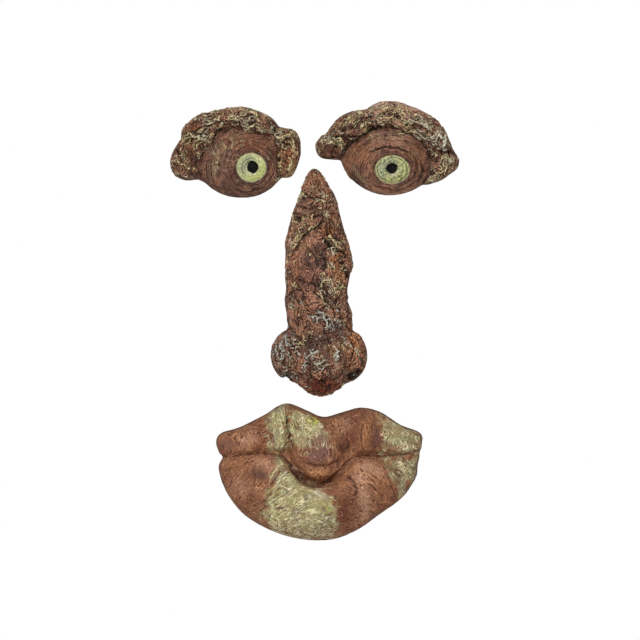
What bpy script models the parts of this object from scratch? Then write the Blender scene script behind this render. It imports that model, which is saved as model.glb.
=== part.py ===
"""A tree face: two eyes, a nose and a mouth, cast in stone-filled resin and hung on a trunk.

The four castings have flat backs on the plane Y = 0 and stand out towards -Y. Each one hangs on
its own screw by a keyhole moulded into its back. The origin is the middle of the nose's back.

Each casting is shaped as a distance function, negative inside: rounded forms are fused, hollows
are carved, and a mesh is stretched over the zero level. Forms are written in millimetres as
(x, depth, z) from the middle of the casting's own back, where depth counts away from the tree.
"""

import itertools
import math

import bmesh
import bpy
import numpy as np

MM = 0.001

# Where the middle of each back lies on the trunk, as (x, z).
LEFT_EYE_PLACE = (-62.0, 97.0)
RIGHT_EYE_PLACE = (51.0, 100.0)
NOSE_PLACE = (0.0, 0.0)
MOUTH_PLACE = (0.0, -140.0)

# The keyhole: a screw head goes in at the round end, and its shank slides up the slot.
HEAD_RADIUS = 5.0
SHANK_HALF_WIDTH = 2.6
SLOT_RISE = 11.0
LIP_THICKNESS = 3.0
KEYHOLE_DEPTH = 8.5

# The bottom of a keyhole's round end, as (x, z) in the casting's own frame.
LEFT_EYE_KEYHOLE = (0.0, 2.0)
RIGHT_EYE_KEYHOLE = (0.0, 2.0)
NOSE_KEYHOLE = (-1.0, 24.0)
MOUTH_KEYHOLE = (0.0, 18.0)

CELL = 1.4
ROUND_SIDES = 28
WIDEST_DEPTH = 5.0
BEHIND_BACK = 8.0
CREASE = 1.8


class Points:
    """A block of sample points, as arrays of x, depth and z."""

    def __init__(self, low, high, cell):
        axes = [np.arange(a, b + cell, cell) for a, b in zip(low, high)]
        self.origin = np.array([axis[0] for axis in axes])
        self.cell = cell
        self.x, self.depth, self.z = np.meshgrid(*axes, indexing="ij")


def fuse(a, b, blend):
    """The union of two forms, filleted over about the blend distance."""
    nearness = np.clip(0.5 + 0.5 * (b - a) / blend, 0.0, 1.0)
    return b + (a - b) * nearness - blend * nearness * (1.0 - nearness)


def carve(a, b, blend):
    """Form a with form b taken away."""
    return -fuse(-a, b, blend)


def ball(p, centre, radii, turn=0.0):
    """An ellipsoid. Turn is in degrees, clockwise as seen from the front."""
    c = math.cos(math.radians(turn))
    s = math.sin(math.radians(turn))
    x = p.x - centre[0]
    z = p.z - centre[2]
    q = (c * x - s * z, p.depth - centre[1], s * x + c * z)
    near = np.sqrt(sum((a / r) ** 2 for a, r in zip(q, radii)))
    steep = np.sqrt(sum((a / r**2) ** 2 for a, r in zip(q, radii)))
    return near * (near - 1.0) / np.maximum(steep, 1e-6)


def loft(p, stations):
    """A ridge drawn through stations of (z, middle, half width, height), lowest z first."""
    levels, middles, widths, heights = np.array(stations).T
    middle = np.interp(p.z, levels, middles)
    width = np.interp(p.z, levels, widths)
    height = np.interp(p.z, levels, heights) - WIDEST_DEPTH
    near = np.hypot((p.x - middle) / width, (p.depth - WIDEST_DEPTH) / height)
    ends = np.maximum(levels[0] - p.z, p.z - levels[-1])
    return np.maximum((near - 1.0) * np.minimum(width, height), ends)


def closed_curve(corners, steps=6):
    """A smooth closed curve through the corners, each span split in steps."""
    corners = np.array(corners, float)
    before, after, later = (np.roll(corners, -k, axis=0) for k in (-1, 1, 2))
    curve = []
    for t in np.arange(steps) / steps:
        curve.append(
            0.5
            * (
                2 * corners
                + (after - before) * t
                + (2 * before - 5 * corners + 4 * after - later) * t**2
                + (3 * corners - before - 3 * after + later) * t**3
            )
        )
    return np.stack(curve, axis=1).reshape(-1, 2)


def edge_distance(x, z, curve, closed=True):
    """Distance to a curve in the plane of the face, positive inside a closed one."""
    nearest = np.full(x.shape, np.inf)
    inside = np.zeros(x.shape, bool)
    ends = np.roll(curve, -1, axis=0) if closed else curve[1:]
    for (x0, z0), (x1, z1) in zip(curve, ends):
        length2 = (x1 - x0) ** 2 + (z1 - z0) ** 2
        along = np.clip(((x - x0) * (x1 - x0) + (z - z0) * (z1 - z0)) / length2, 0.0, 1.0)
        away = np.hypot(x - x0 - along * (x1 - x0), z - z0 - along * (z1 - z0))
        nearest = np.minimum(nearest, away)
        if closed and z0 != z1:
            crosses = (z0 > z) != (z1 > z)
            inside ^= crosses & (x < x0 + (z - z0) * (x1 - x0) / (z1 - z0))
    return np.where(inside, nearest, -nearest) if closed else nearest


def pillow(p, outline, overhang, height, shoulder):
    """A body a little past an outline, rounded over the shoulder's width up to height."""
    flat = edge_distance(p.x[:, 0, :], p.z[:, 0, :], closed_curve(outline)) + overhang
    inner = np.clip(flat / shoulder, 0.0, 1.0)
    top = WIDEST_DEPTH + (height - WIDEST_DEPTH) * np.sqrt(1.0 - (1.0 - inner) ** 2)
    over = (p.depth - top[:, None, :]) * np.clip(inner, 0.35, 1.0)[:, None, :]
    return np.maximum(over, -flat[:, None, :] * np.ones_like(p.depth))


def clipped(p, form, outline, blend):
    """A form trimmed to an outline, with the edge of the cut rounded."""
    within = edge_distance(p.x[:, 0, :], p.z[:, 0, :], closed_curve(outline)) + blend / 4
    return carve(form, within[:, None, :] * np.ones_like(p.depth), blend)


def groove(p, path, width):
    """How far the surface sinks near a line drawn on it, as (x, z, depth)."""
    path = np.array(path)
    sunk = np.zeros(p.x[:, 0, :].shape)
    for first, second in zip(path, path[1:]):
        span = np.array([first[:2], second[:2]])
        away = edge_distance(p.x[:, 0, :], p.z[:, 0, :], span, closed=False)
        share = np.hypot(p.x[:, 0, :] - first[0], p.z[:, 0, :] - first[1])
        share = np.clip(share / np.hypot(*(second - first)[:2]), 0.0, 1.0)
        deep = first[2] + (second[2] - first[2]) * share
        sunk = np.maximum(sunk, deep * np.exp(-((away / width) ** 2)))
    return sunk[:, None, :]


# The eyes

IRIS_SINK = 1.0
IRIS_DOME = 1.4
PUPIL_DEPTH = 3.0

LEFT_IRIS = (12.2, -12.3)
LEFT_IRIS_RADII = (11.6, 11.3)
LEFT_IRIS_CREST = 27.5
LEFT_PUPIL_RADIUS = 4.5
LEFT_MOUNDS = (
    ((4.0, 1.0, -6.5), (32.0, 24.5, 28.3)),
    ((-17.0, 2.0, -11.0), (14.0, 17.0, 14.0)),
    ((12.2, 6.0, -12.3), (23.0, 21.8, 21.0)),
)
LEFT_BROW = (
    ((-34.5, 2.0, -5.5), (15.0, 23.0, 16.5)),
    ((-26.5, 2.0, 15.5), (15.5, 23.0, 14.5)),
    ((-8.0, 2.0, 24.0), (13.0, 24.0, 10.0)),
    ((8.0, 2.0, 23.5), (17.0, 27.0, 11.5), 4.0),
    ((20.5, 2.0, 20.5), (12.0, 26.0, 10.0), 20.0),
    ((37.0, 2.0, 9.0), (12.5, 25.0, 9.0), 12.0),
    ((40.0, 2.0, -5.0), (9.5, 24.0, 16.0), 6.0),
)
LEFT_OUTLINE = (
    (3.7, 33.3),
    (18.5, 28.9),
    (25.9, 24.4),
    (31.1, 20.0),
    (40.7, 17.0),
    (46.2, 12.6),
    (48.8, 2.2),
    (46.6, -6.7),
    (42.0, -17.0),
    (35.5, -19.6),
    (30.3, -22.9),
    (22.9, -28.9),
    (11.8, -33.3),
    (-3.7, -33.3),
    (-15.5, -28.9),
    (-24.0, -21.6),
    (-38.5, -21.1),
    (-46.0, -17.0),
    (-48.1, -9.6),
    (-46.0, -1.0),
    (-40.5, 8.9),
    (-39.2, 14.8),
    (-35.5, 20.0),
    (-22.9, 28.9),
    (-9.6, 31.1),
)

RIGHT_IRIS = (2.8, -16.9)
RIGHT_IRIS_RADII = (13.0, 10.7)
RIGHT_IRIS_CREST = 27.0
RIGHT_PUPIL_RADIUS = 4.2
RIGHT_MOUNDS = (
    ((1.0, 1.0, -9.6), (34.0, 24.0, 26.0)),
    ((-20.0, 2.0, -8.0), (15.0, 17.0, 13.0)),
    ((2.8, 6.0, -15.5), (25.0, 21.3, 19.0)),
)
RIGHT_BROW = (
    ((-42.0, 2.0, -0.5), (14.5, 22.0, 11.5), -24.0),
    ((-28.0, 2.0, 15.0), (18.5, 24.0, 12.5), -34.0),
    ((0.0, 2.0, 24.5), (18.0, 27.0, 11.0), -4.0),
    ((14.0, 2.0, 20.0), (14.0, 26.0, 11.0), 24.0),
    ((25.0, 2.0, 16.5), (18.0, 25.0, 11.0), 32.0),
    ((38.0, 2.0, 4.5), (12.0, 24.0, 11.0), 30.0),
    ((40.0, 2.0, -15.5), (18.5, 21.0, 11.5), -42.0),
)
RIGHT_OUTLINE = (
    (0.0, 34.2),
    (9.0, 33.6),
    (20.7, 29.6),
    (31.0, 23.4),
    (40.0, 16.3),
    (45.0, 5.0),
    (48.3, -2.0),
    (51.8, -10.0),
    (50.6, -15.0),
    (45.1, -19.2),
    (38.5, -23.7),
    (25.2, -28.1),
    (15.5, -32.6),
    (1.5, -35.1),
    (-12.6, -32.6),
    (-26.6, -23.7),
    (-32.6, -14.8),
    (-35.4, -9.0),
    (-48.6, -7.0),
    (-52.9, -1.0),
    (-52.0, 7.0),
    (-41.4, 16.3),
    (-37.7, 20.7),
    (-30.3, 25.2),
    (-17.0, 28.6),
    (-9.0, 33.2),
)


def eye_form(p, mounds, brow, outline):
    """An eyeball behind heavy lids, with a lumpy brow rolled over it."""
    form = ball(p, *mounds[0])
    for mound in mounds[1:]:
        form = fuse(form, ball(p, *mound), 5.0)
    lumps = ball(p, *brow[0])
    for lump in brow[1:]:
        lumps = fuse(lumps, ball(p, *lump), 3.2)
    return clipped(p, fuse(form, lumps, CREASE), outline, 3.0)


def left_eye_form(p):
    return eye_form(p, LEFT_MOUNDS, LEFT_BROW, LEFT_OUTLINE)


def right_eye_form(p):
    return eye_form(p, RIGHT_MOUNDS, RIGHT_BROW, RIGHT_OUTLINE)


# The nose

NOSE_STATIONS = (
    (-78.0, 0.0, 6.0, 20.0),
    (-60.0, 0.0, 22.0, 36.0),
    (-40.0, 0.4, 23.5, 34.0),
    (-31.0, 0.6, 24.2, 32.0),
    (-22.0, 0.2, 24.8, 31.0),
    (-13.0, -2.2, 23.6, 30.5),
    (-4.0, -1.6, 23.0, 30.5),
    (5.0, -1.0, 24.2, 30.5),
    (14.0, -0.4, 25.0, 30.0),
    (23.0, -0.8, 24.6, 29.0),
    (31.0, -1.8, 23.4, 28.0),
    (40.0, -2.2, 21.0, 26.0),
    (49.0, -2.2, 18.7, 24.0),
    (58.0, -1.9, 16.0, 22.0),
    (67.0, -1.9, 12.4, 19.0),
    (76.0, -2.8, 8.6, 15.0),
    (82.0, -2.8, 4.6, 11.0),
    (84.6, -2.6, 2.2, 8.0),
)
NOSE_TIP = ((1.2, 14.0, -59.5), (20.5, 30.0, 24.6))
NOSE_WINGS = (
    ((-20.0, 4.0, -53.5), (16.0, 22.0, 19.5)),
    ((20.0, 4.0, -54.0), (16.0, 23.0, 19.5)),
    ((-17.0, 6.0, -64.0), (13.0, 17.0, 9.0), 35.0),
    ((18.0, 6.0, -66.0), (13.0, 16.0, 8.0), -35.0),
)
NOSTRILS = (
    ((-24.0, 9.0, -71.0), (5.0, 9.5, 4.5)),
    ((26.5, 15.0, -68.0), (7.0, 12.0, 5.5), -30.0),
)

# Where bark has peeled off the bridge. It fades out between the two levels.
PEELED = (
    (-21.5, 20.0),
    (-11.8, 34.5),
    (-5.0, 38.0),
    (1.5, 43.0),
    (2.5, 34.0),
    (12.6, 25.5),
    (21.0, 19.0),
    (17.0, 0.0),
    (2.0, -14.0),
    (-14.0, -8.0),
    (-20.0, 6.0),
)
PEELED_DEPTH = 1.6
PEELED_FADE = (-10.0, 16.0)


def nose_form(p):
    form = loft(p, NOSE_STATIONS)
    for wing in NOSE_WINGS:
        form = fuse(form, ball(p, *wing), 2.5)
    form = fuse(form, ball(p, *NOSE_TIP), 6.0)
    for nostril in NOSTRILS:
        form = carve(form, ball(p, *nostril), 1.5)
    peeled = edge_distance(p.x[:, 0, :], p.z[:, 0, :], np.array(PEELED))
    peeled = np.clip(peeled / CELL, 0.0, 1.0)[:, None, :]
    low, high = PEELED_FADE
    return form + PEELED_DEPTH * peeled * np.clip((p.z - low) / (high - low), 0.0, 1.0)


# The mouth

MOUTH_OUTLINE = (
    (-75.5, 22.0),
    (-72.0, 28.5),
    (-58.8, 32.6),
    (-41.0, 41.4),
    (-25.0, 50.3),
    (-10.0, 45.5),
    (3.0, 40.3),
    (18.0, 44.0),
    (31.0, 47.2),
    (45.0, 44.0),
    (60.0, 34.5),
    (74.5, 28.5),
    (75.2, 20.0),
    (72.5, 6.0),
    (71.0, -4.0),
    (61.0, -18.0),
    (45.5, -29.6),
    (29.0, -41.5),
    (10.0, -49.0),
    (-12.0, -49.0),
    (-33.7, -43.0),
    (-54.0, -31.5),
    (-68.0, -14.0),
    (-73.6, 2.0),
    (-72.2, 11.0),
)
MOUTH_LINE = (
    (-74.0, 10.8, 1.5),
    (-54.0, 13.7, 3.0),
    (-37.0, 14.6, 3.5),
    (-26.5, 12.4, 4.5),
    (-20.0, 5.2, 5.5),
    (-12.0, -4.5, 5.5),
    (0.0, -9.4, 5.0),
    (11.0, -5.5, 4.5),
    (19.0, 4.2, 4.5),
    (26.0, 11.0, 3.5),
    (38.0, 13.2, 3.0),
    (59.0, 12.0, 2.5),
    (73.0, 15.0, 1.5),
)
LIP_CREASE = (
    (-22.5, 40.0, 1.5),
    (-22.5, 28.0, 3.0),
    (-23.5, 15.0, 2.0),
)
LOWER_LIP = (
    ((-38.0, 4.0, -8.0), (36.0, 25.0, 23.5), -30.0),
    ((-6.0, 4.0, -27.0), (42.0, 30.0, 22.0), -6.0),
    ((37.0, 4.0, -8.0), (36.0, 26.0, 22.5), 32.0),
)
UPPER_LIP = (
    ((-27.0, 4.0, 31.0), (14.0, 22.0, 19.0)),
    ((-53.0, 4.0, 22.0), (26.0, 15.5, 11.5), -12.0),
    ((-1.5, 4.0, 17.0), (25.0, 26.0, 25.5)),
    ((30.0, 4.0, 28.0), (19.0, 22.5, 18.5)),
    ((54.0, 4.0, 22.0), (26.0, 17.0, 12.5), 16.0),
)


def mouth_form(p):
    lower = ball(p, *LOWER_LIP[0])
    for lobe in LOWER_LIP[1:]:
        lower = fuse(lower, ball(p, *lobe), 6.0)
    upper = ball(p, *UPPER_LIP[0])
    for lobe in UPPER_LIP[1:]:
        upper = fuse(upper, ball(p, *lobe), 3.0)
    form = fuse(fuse(upper, lower, 2.0), pillow(p, MOUTH_OUTLINE, 3.0, 15.0, 10.0), 4.0)
    form = clipped(p, form, MOUTH_OUTLINE, 4.0)
    return form + groove(p, MOUTH_LINE, 2.2) + groove(p, LIP_CREASE, 2.0)


# Meshes

def level_surface(values, origin, cell):
    """Corners and triangles of the zero level of a block of values, negative inside.

    Every cube of the block is split in six tetrahedra round its long diagonal, and each one
    that the surface crosses gives one triangle, or two where it parts the corners in pairs.
    """
    shape = np.array(values.shape)
    stride = np.array((shape[1] * shape[2], shape[2], 1))
    flat = np.where(np.abs(values) < 0.02, np.copysign(0.02, values), values).ravel()
    base = np.arange(flat.size).reshape(values.shape)[:-1, :-1, :-1].ravel()
    cube = base[:, None] + np.array(list(np.ndindex(2, 2, 2))) @ stride
    inside = flat[cube] < 0
    base = base[inside.any(axis=1) & ~inside.all(axis=1)]
    triangles = []
    for axes in itertools.permutations(range(3)):
        steps = np.concatenate([[0], np.cumsum(stride[list(axes)])])
        corner = base[:, None] + steps
        order = np.argsort(flat[corner] >= 0, axis=1, kind="stable")
        corner = np.take_along_axis(corner, order, axis=1)
        count = (flat[corner] < 0).sum(axis=1)
        odd = sum(axes[i] > axes[j] for i, j in ((0, 1), (0, 2), (1, 2))) % 2
        swaps = sum(order[:, i] > order[:, j] for i, j in itertools.combinations(range(4), 2))
        turned = (swaps + odd) % 2 == 1
        for within, rims in (
            (1, ((0, 1), (0, 2), (0, 3))),
            (2, ((0, 2), (0, 3), (1, 3))),
            (2, ((0, 2), (1, 3), (1, 2))),
            (3, ((0, 3), (1, 3), (2, 3))),
        ):
            chosen = count == within
            found = np.stack([corner[chosen][:, list(rim)] for rim in rims], axis=1)
            back = turned[chosen]
            found[back] = found[back][:, ::-1]
            triangles.append(found)
    triangles = np.concatenate(triangles)
    a, b = np.sort(triangles, axis=2).reshape(-1, 2).T
    keys, number = np.unique(a * flat.size + b, return_inverse=True)
    a, b = np.divmod(keys, flat.size)
    share = (flat[a] / (flat[a] - flat[b]))[:, None]
    place_a = np.stack(np.unravel_index(a, values.shape), axis=1)
    place_b = np.stack(np.unravel_index(b, values.shape), axis=1)
    return (place_a + (place_b - place_a) * share) * cell + origin, number.reshape(-1, 3)


def casting_mesh(name, form, half_width, half_height, height):
    """The mesh of a form, a little behind its back plane, in metres with Y away from the viewer."""
    margin = 3 * CELL
    low = (-half_width - margin, -BEHIND_BACK - margin, -half_height - margin)
    high = (half_width + margin, height + margin, half_height + margin)
    points = Points(low, high, CELL)
    values = np.maximum(form(points), -BEHIND_BACK - points.depth)
    slope = np.sqrt(sum(g**2 for g in np.gradient(values, CELL)))
    values = values / np.clip(slope, 0.3, 4.0)
    corners, triangles = level_surface(values, points.origin, CELL)
    corners = corners * (MM, -MM, MM)
    mesh = bpy.data.meshes.new(name)
    mesh.from_pydata(corners.tolist(), [], triangles[:, ::-1].tolist())
    return mesh


def painted(name, colour):
    material = bpy.data.materials.new(name)
    material.use_nodes = True
    shader = material.node_tree.nodes["Principled BSDF"]
    shader.inputs["Base Color"].default_value = (*colour, 1.0)
    shader.inputs["Roughness"].default_value = 0.75
    shader.inputs["Metallic"].default_value = 0.0
    material.diffuse_color = (*colour, 1.0)
    return material


def cutter(name, mesh):
    helper = bpy.data.objects.new(name, mesh)
    bpy.context.collection.objects.link(helper)
    helper.hide_render = True
    helper.display_type = "WIRE"
    return helper


def back_cutter(name, place):
    """A block behind the back plane that saws the casting's back flat."""
    block = bmesh.new()
    bmesh.ops.create_cube(block, size=1.0)
    size = (0.24, 0.05, 0.24)
    for corner in block.verts:
        corner.co.x *= size[0]
        corner.co.z *= size[2]
        corner.co.y = (corner.co.y + 0.5) * size[1]
    mesh = bpy.data.meshes.new(name)
    block.to_mesh(mesh)
    block.free()
    helper = cutter(name, mesh)
    helper.location = (place[0] * MM, 0.0, place[1] * MM)
    return helper


def keyhole_section(slot_half_width):
    """The keyhole's outline: a round end below and a slot with a round top."""
    points = []
    neck = math.asin(slot_half_width / HEAD_RADIUS)
    for turn in np.linspace(neck, 2 * math.pi - neck, 15):
        points.append((HEAD_RADIUS * math.sin(turn), HEAD_RADIUS * math.cos(turn)))
    for turn in np.linspace(-math.pi / 2, math.pi / 2, 7):
        x = slot_half_width * math.sin(turn)
        points.append((x, SLOT_RISE + slot_half_width * math.cos(turn)))
    return points[::-1]


def prism(points, near, far):
    """A bmesh prism with the given outline in X and Z, between two depths."""
    solid = bmesh.new()
    ring = [solid.verts.new((x * MM, -near * MM, z * MM)) for x, z in points]
    cap = solid.faces.new(ring)
    moved = bmesh.ops.extrude_face_region(solid, geom=[cap])["geom"]
    for item in moved:
        if isinstance(item, bmesh.types.BMVert):
            item.co.y = -far * MM
    bmesh.ops.recalc_face_normals(solid, faces=solid.faces)
    return solid


def keyhole_cutters(name, place, keyhole):
    """The narrow keyhole through the back's lip, and the wider channel behind it."""
    made = []
    channel_half_width = HEAD_RADIUS * 0.96
    for kind, half_width, near, far in (
        ("_lip", SHANK_HALF_WIDTH, -2.0, LIP_THICKNESS + 0.5),
        ("_channel", channel_half_width, LIP_THICKNESS, KEYHOLE_DEPTH),
    ):
        solid = prism(keyhole_section(half_width), near, far)
        mesh = bpy.data.meshes.new(name + kind)
        solid.to_mesh(mesh)
        solid.free()
        helper = cutter(name + kind, mesh)
        x = (place[0] + keyhole[0]) * MM
        z = (place[1] + keyhole[1] + HEAD_RADIUS) * MM
        helper.location = (x, 0.0, z)
        made.append(helper)
    return made


def turned(name, profile, place, radii):
    """A cutter turned round an axis along the depth, from a profile of (share of radius, depth)."""
    solid = bmesh.new()
    turns = np.arange(ROUND_SIDES) * 2 * math.pi / ROUND_SIDES
    rings = []
    for share, depth in profile:
        y = -depth * MM
        if share == 0.0:
            rings.append([solid.verts.new((0.0, y, 0.0))])
            continue
        x = share * radii[0] * MM * np.cos(turns)
        z = share * radii[1] * MM * np.sin(turns)
        rings.append([solid.verts.new((a, y, b)) for a, b in zip(x, z)])
    for inner, outer in zip(rings, rings[1:]):
        for k in range(ROUND_SIDES):
            after = (k + 1) % ROUND_SIDES
            if len(inner) == 1:
                solid.faces.new((inner[0], outer[k], outer[after]))
            elif len(outer) == 1:
                solid.faces.new((inner[after], inner[k], outer[0]))
            else:
                solid.faces.new((inner[k], outer[k], outer[after], inner[after]))
    bmesh.ops.recalc_face_normals(solid, faces=solid.faces)
    mesh = bpy.data.meshes.new(name)
    solid.to_mesh(mesh)
    solid.free()
    helper = cutter(name, mesh)
    helper.location = (place[0] * MM, 0.0, place[1] * MM)
    return helper


def iris_cutters(name, place, iris, radii, crest, pupil_radius):
    """The shallow recess that leaves a domed iris, and the pupil drilled in its middle."""
    centre = (place[0] + iris[0], place[1] + iris[1])
    floor = crest - IRIS_SINK
    dome = [(share, floor - IRIS_DOME * share**2) for share in (0.0, 0.4, 0.7, 1.0)]
    above = [(1.0, crest + 12.0), (0.0, crest + 12.0)]
    hole = [(0.0, floor - PUPIL_DEPTH), (1.0, floor - PUPIL_DEPTH), *above]
    return [
        turned(name + "_iris", dome + above, centre, radii),
        turned(name + "_pupil", hole, centre, (pupil_radius, pupil_radius)),
    ]


def casting(name, form, place, keyhole, size, triangles, colour, more_cutters=()):
    """One piece of the face, with its flat back and its keyhole."""
    mesh = casting_mesh(name, form, *size)
    piece = bpy.data.objects.new(name, mesh)
    bpy.context.collection.objects.link(piece)
    piece.location = (place[0] * MM, 0.0, place[1] * MM)
    mesh.materials.append(painted(name + "_paint", colour))
    thinned = piece.modifiers.new("Thinned", "DECIMATE")
    thinned.ratio = triangles / len(mesh.polygons)
    cutters = [
        back_cutter(name + "_back", place),
        *keyhole_cutters(name, place, keyhole),
        *more_cutters,
    ]
    for helper in cutters:
        cut = piece.modifiers.new(helper.name, "BOOLEAN")
        cut.operation = "DIFFERENCE"
        cut.object = helper
    mesh.shade_smooth()
    return piece


def main():
    for old in list(bpy.data.objects):
        bpy.data.objects.remove(old)
    bark = (0.19, 0.10, 0.065)
    lip_brown = (0.30, 0.16, 0.09)
    left_cutters = iris_cutters(
        "left", LEFT_EYE_PLACE, LEFT_IRIS, LEFT_IRIS_RADII, LEFT_IRIS_CREST, LEFT_PUPIL_RADIUS
    )
    right_cutters = iris_cutters(
        "right", RIGHT_EYE_PLACE, RIGHT_IRIS, RIGHT_IRIS_RADII, RIGHT_IRIS_CREST, RIGHT_PUPIL_RADIUS
    )
    casting(
        "left_eye",
        left_eye_form,
        LEFT_EYE_PLACE,
        LEFT_EYE_KEYHOLE,
        (50, 36, 34),
        2100,
        bark,
        left_cutters,
    )
    casting(
        "right_eye",
        right_eye_form,
        RIGHT_EYE_PLACE,
        RIGHT_EYE_KEYHOLE,
        (54, 38, 34),
        2100,
        bark,
        right_cutters,
    )
    casting("nose", nose_form, NOSE_PLACE, NOSE_KEYHOLE, (38, 86, 50), 2400, bark)
    casting("mouth", mouth_form, MOUTH_PLACE, MOUTH_KEYHOLE, (77, 52, 40), 2600, lip_brown)


main()
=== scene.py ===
"""The looks of the tree face: carved and dry-brushed castings, studio light and the camera.

Each casting's mesh is made from its solid: remeshed finely, smoothed, and then carved with the
wrinkles, lid rings, torn bark and crackle of the real one. Paint, with painted shade in the
hollows and painted highlights on raised parts, is worked out point by point in the same pass
and kept in the mesh's attributes. The material adds a finer grain to it.

Lengths in the carving code are millimetres. A casting's own frame has its origin near the middle
of its back, x to the viewer's right, z up and depth towards the viewer.
"""

import itertools
import math

import bmesh
import bpy
import numpy as np
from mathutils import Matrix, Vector


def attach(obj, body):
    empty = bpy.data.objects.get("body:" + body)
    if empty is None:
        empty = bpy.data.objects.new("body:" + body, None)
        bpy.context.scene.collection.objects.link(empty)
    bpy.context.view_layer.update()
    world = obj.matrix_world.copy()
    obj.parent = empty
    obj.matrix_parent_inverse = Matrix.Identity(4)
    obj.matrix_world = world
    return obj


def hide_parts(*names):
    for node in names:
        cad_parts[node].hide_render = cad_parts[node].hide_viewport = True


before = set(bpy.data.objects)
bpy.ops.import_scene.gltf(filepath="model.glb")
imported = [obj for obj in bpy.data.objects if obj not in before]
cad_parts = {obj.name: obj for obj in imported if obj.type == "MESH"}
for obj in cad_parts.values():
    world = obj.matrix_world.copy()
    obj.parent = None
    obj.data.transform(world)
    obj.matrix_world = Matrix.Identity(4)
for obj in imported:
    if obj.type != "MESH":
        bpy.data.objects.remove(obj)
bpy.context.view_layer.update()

MM = 0.001

# Where each casting's own origin lies on the trunk, as (x, z).
PLACES = {"left_eye": (-62, 97), "right_eye": (51, 100), "nose": (0, 0), "mouth": (0, -140)}

# The middle of each keyhole's round end, in the casting's own frame, and the rise of its slot.
KEYHOLES = {"left_eye": (0, 7), "right_eye": (0, 7), "nose": (-1, 29), "mouth": (0, 23)}
KEYHOLE_RISE = 11.0

# How far round a keyhole, and how deep, the solid's own faces stay as they are.
KEYHOLE_REACH = 6.0
KEYHOLE_DEPTH = 9.3

# Sizes of the remeshed faces, fine but with under 200,000 triangles in each casting.
VOXEL = {"left_eye": 0.41, "right_eye": 0.425, "nose": 0.5, "mouth": 0.58}

# How far the sides are drawn in, to leave room for the relief within the outline.
INSET = {"left_eye": 0.6, "right_eye": 0.6, "nose": 0.3, "mouth": 0.8}

SMOOTHING_ROUNDS = 14

# Points this near the trunk's plane are the flat back. Nearly all its triangles are thinned out.
FLAT_WITHIN = 0.05
BACK_THINNED = 0.96
BACK_FIRST = 1000.0

# The brows' grain runs in arcs round a point this far below the middle, at about this radius.
BROW_CENTRE = 12.0
BROW_RADIUS = 36.0

# Widths of the lines painted by hand, and of the dark bands that they lie on.
LINE_WIDTH = 0.62
HALO_WIDTH = 1.9


# Noise

LATTICE = np.random.default_rng(11)
ORDER = LATTICE.permutation(256)
SLOPES = LATTICE.normal(size=(256, 3))
SLOPES /= np.linalg.norm(SLOPES, axis=1)[:, None]
NOISE_GAIN = 1.7


def noise(points, size, seed=0):
    """Smooth noise from about -1 to 1, with features of the given size."""
    p = points / size + (seed * 17.31, seed * 5.77, seed * 9.13)
    cell = np.floor(p).astype(int)
    f = p - cell
    u = f * f * f * (f * (f * 6 - 15) + 10)
    total = np.zeros(len(p))
    for corner in itertools.product((0, 1), repeat=3):
        i, j, k = ((cell + corner) & 255).T
        slope = SLOPES[ORDER[(ORDER[(ORDER[i] + j) & 255] + k) & 255]]
        weight = np.prod(np.where(corner, u, 1 - u), axis=1)
        total += weight * ((f - corner) * slope).sum(axis=1)
    return total * NOISE_GAIN


def rough(points, size, octaves, seed=0, gain=0.55):
    """Noise with finer and fainter layers on top."""
    total = np.zeros(len(points))
    share = 1.0
    for k in range(octaves):
        total += share * noise(points, size / 2.1**k, seed + k)
        share *= gain
    return total


def swirled(points, size, amount, seed=0):
    """Points pushed about by noise, so that patterns on them curl."""
    push = [noise(points, size, seed + 40 + k) for k in range(3)]
    return points + amount * np.stack(push, axis=1)


def smooth(low, high, value):
    """0 at the low end of a range and 1 at its high end, with a smooth step between."""
    t = np.clip((value - low) / (high - low), 0.0, 1.0)
    return t * t * (3 - 2 * t)


def ridge(away, width):
    """1 where away is 0, falling off on both sides of it."""
    return np.exp(-((away / width) ** 2))


def mix(a, b, share):
    """Colours a where share is 0 and b where it is 1."""
    return a + (b - a) * share[:, None]


# Masks drawn in the plane of the face

def segment(x, z, first, last):
    """Distance to a segment, and how far along it the nearest point is, 0 to 1."""
    (x0, z0), (x1, z1) = first, last
    length2 = (x1 - x0) ** 2 + (z1 - z0) ** 2
    along = np.clip(((x - x0) * (x1 - x0) + (z - z0) * (z1 - z0)) / length2, 0.0, 1.0)
    return np.hypot(x - x0 - along * (x1 - x0), z - z0 - along * (z1 - z0)), along


def line_distance(x, z, path):
    return np.min([segment(x, z, a, b)[0] for a, b in zip(path, path[1:])], axis=0)


def area(x, z, corners):
    """Distance inside a closed outline, negative outside it."""
    nearest = line_distance(x, z, [*corners, corners[0]])
    inside = np.zeros(x.shape, bool)
    for (x0, z0), (x1, z1) in zip(corners, [*corners[1:], corners[0]]):
        if z0 != z1:
            crosses = (z0 > z) != (z1 > z)
            inside ^= crosses & (x < x0 + (z - z0) * (x1 - x0) / (z1 - z0))
    return np.where(inside, nearest, -nearest)


def blob(x, z, centre, radii, turn=0.0):
    """1 in the middle of an oval patch, falling to 0 at its edge. Turn is clockwise, in degrees."""
    c, s = math.cos(math.radians(turn)), math.sin(math.radians(turn))
    dx, dz = x - centre[0], z - centre[1]
    near = np.hypot((c * dx - s * dz) / radii[0], (s * dx + c * dz) / radii[1])
    return 1.0 - smooth(0.35, 1.0, near)


def stroke(x, z, path, width):
    """1 on a line drawn on the surface, fading over its width and towards its ends."""
    nearest = np.full(x.shape, np.inf)
    along = np.zeros(x.shape)
    for k, (first, last) in enumerate(zip(path, path[1:])):
        away, share = segment(x, z, first, last)
        closer = away < nearest
        nearest = np.where(closer, away, nearest)
        along = np.where(closer, k + share, along)
    ends = np.minimum(along, len(path) - 1 - along)
    return ridge(nearest, width) * smooth(-0.1, 0.5, ends)


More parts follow.
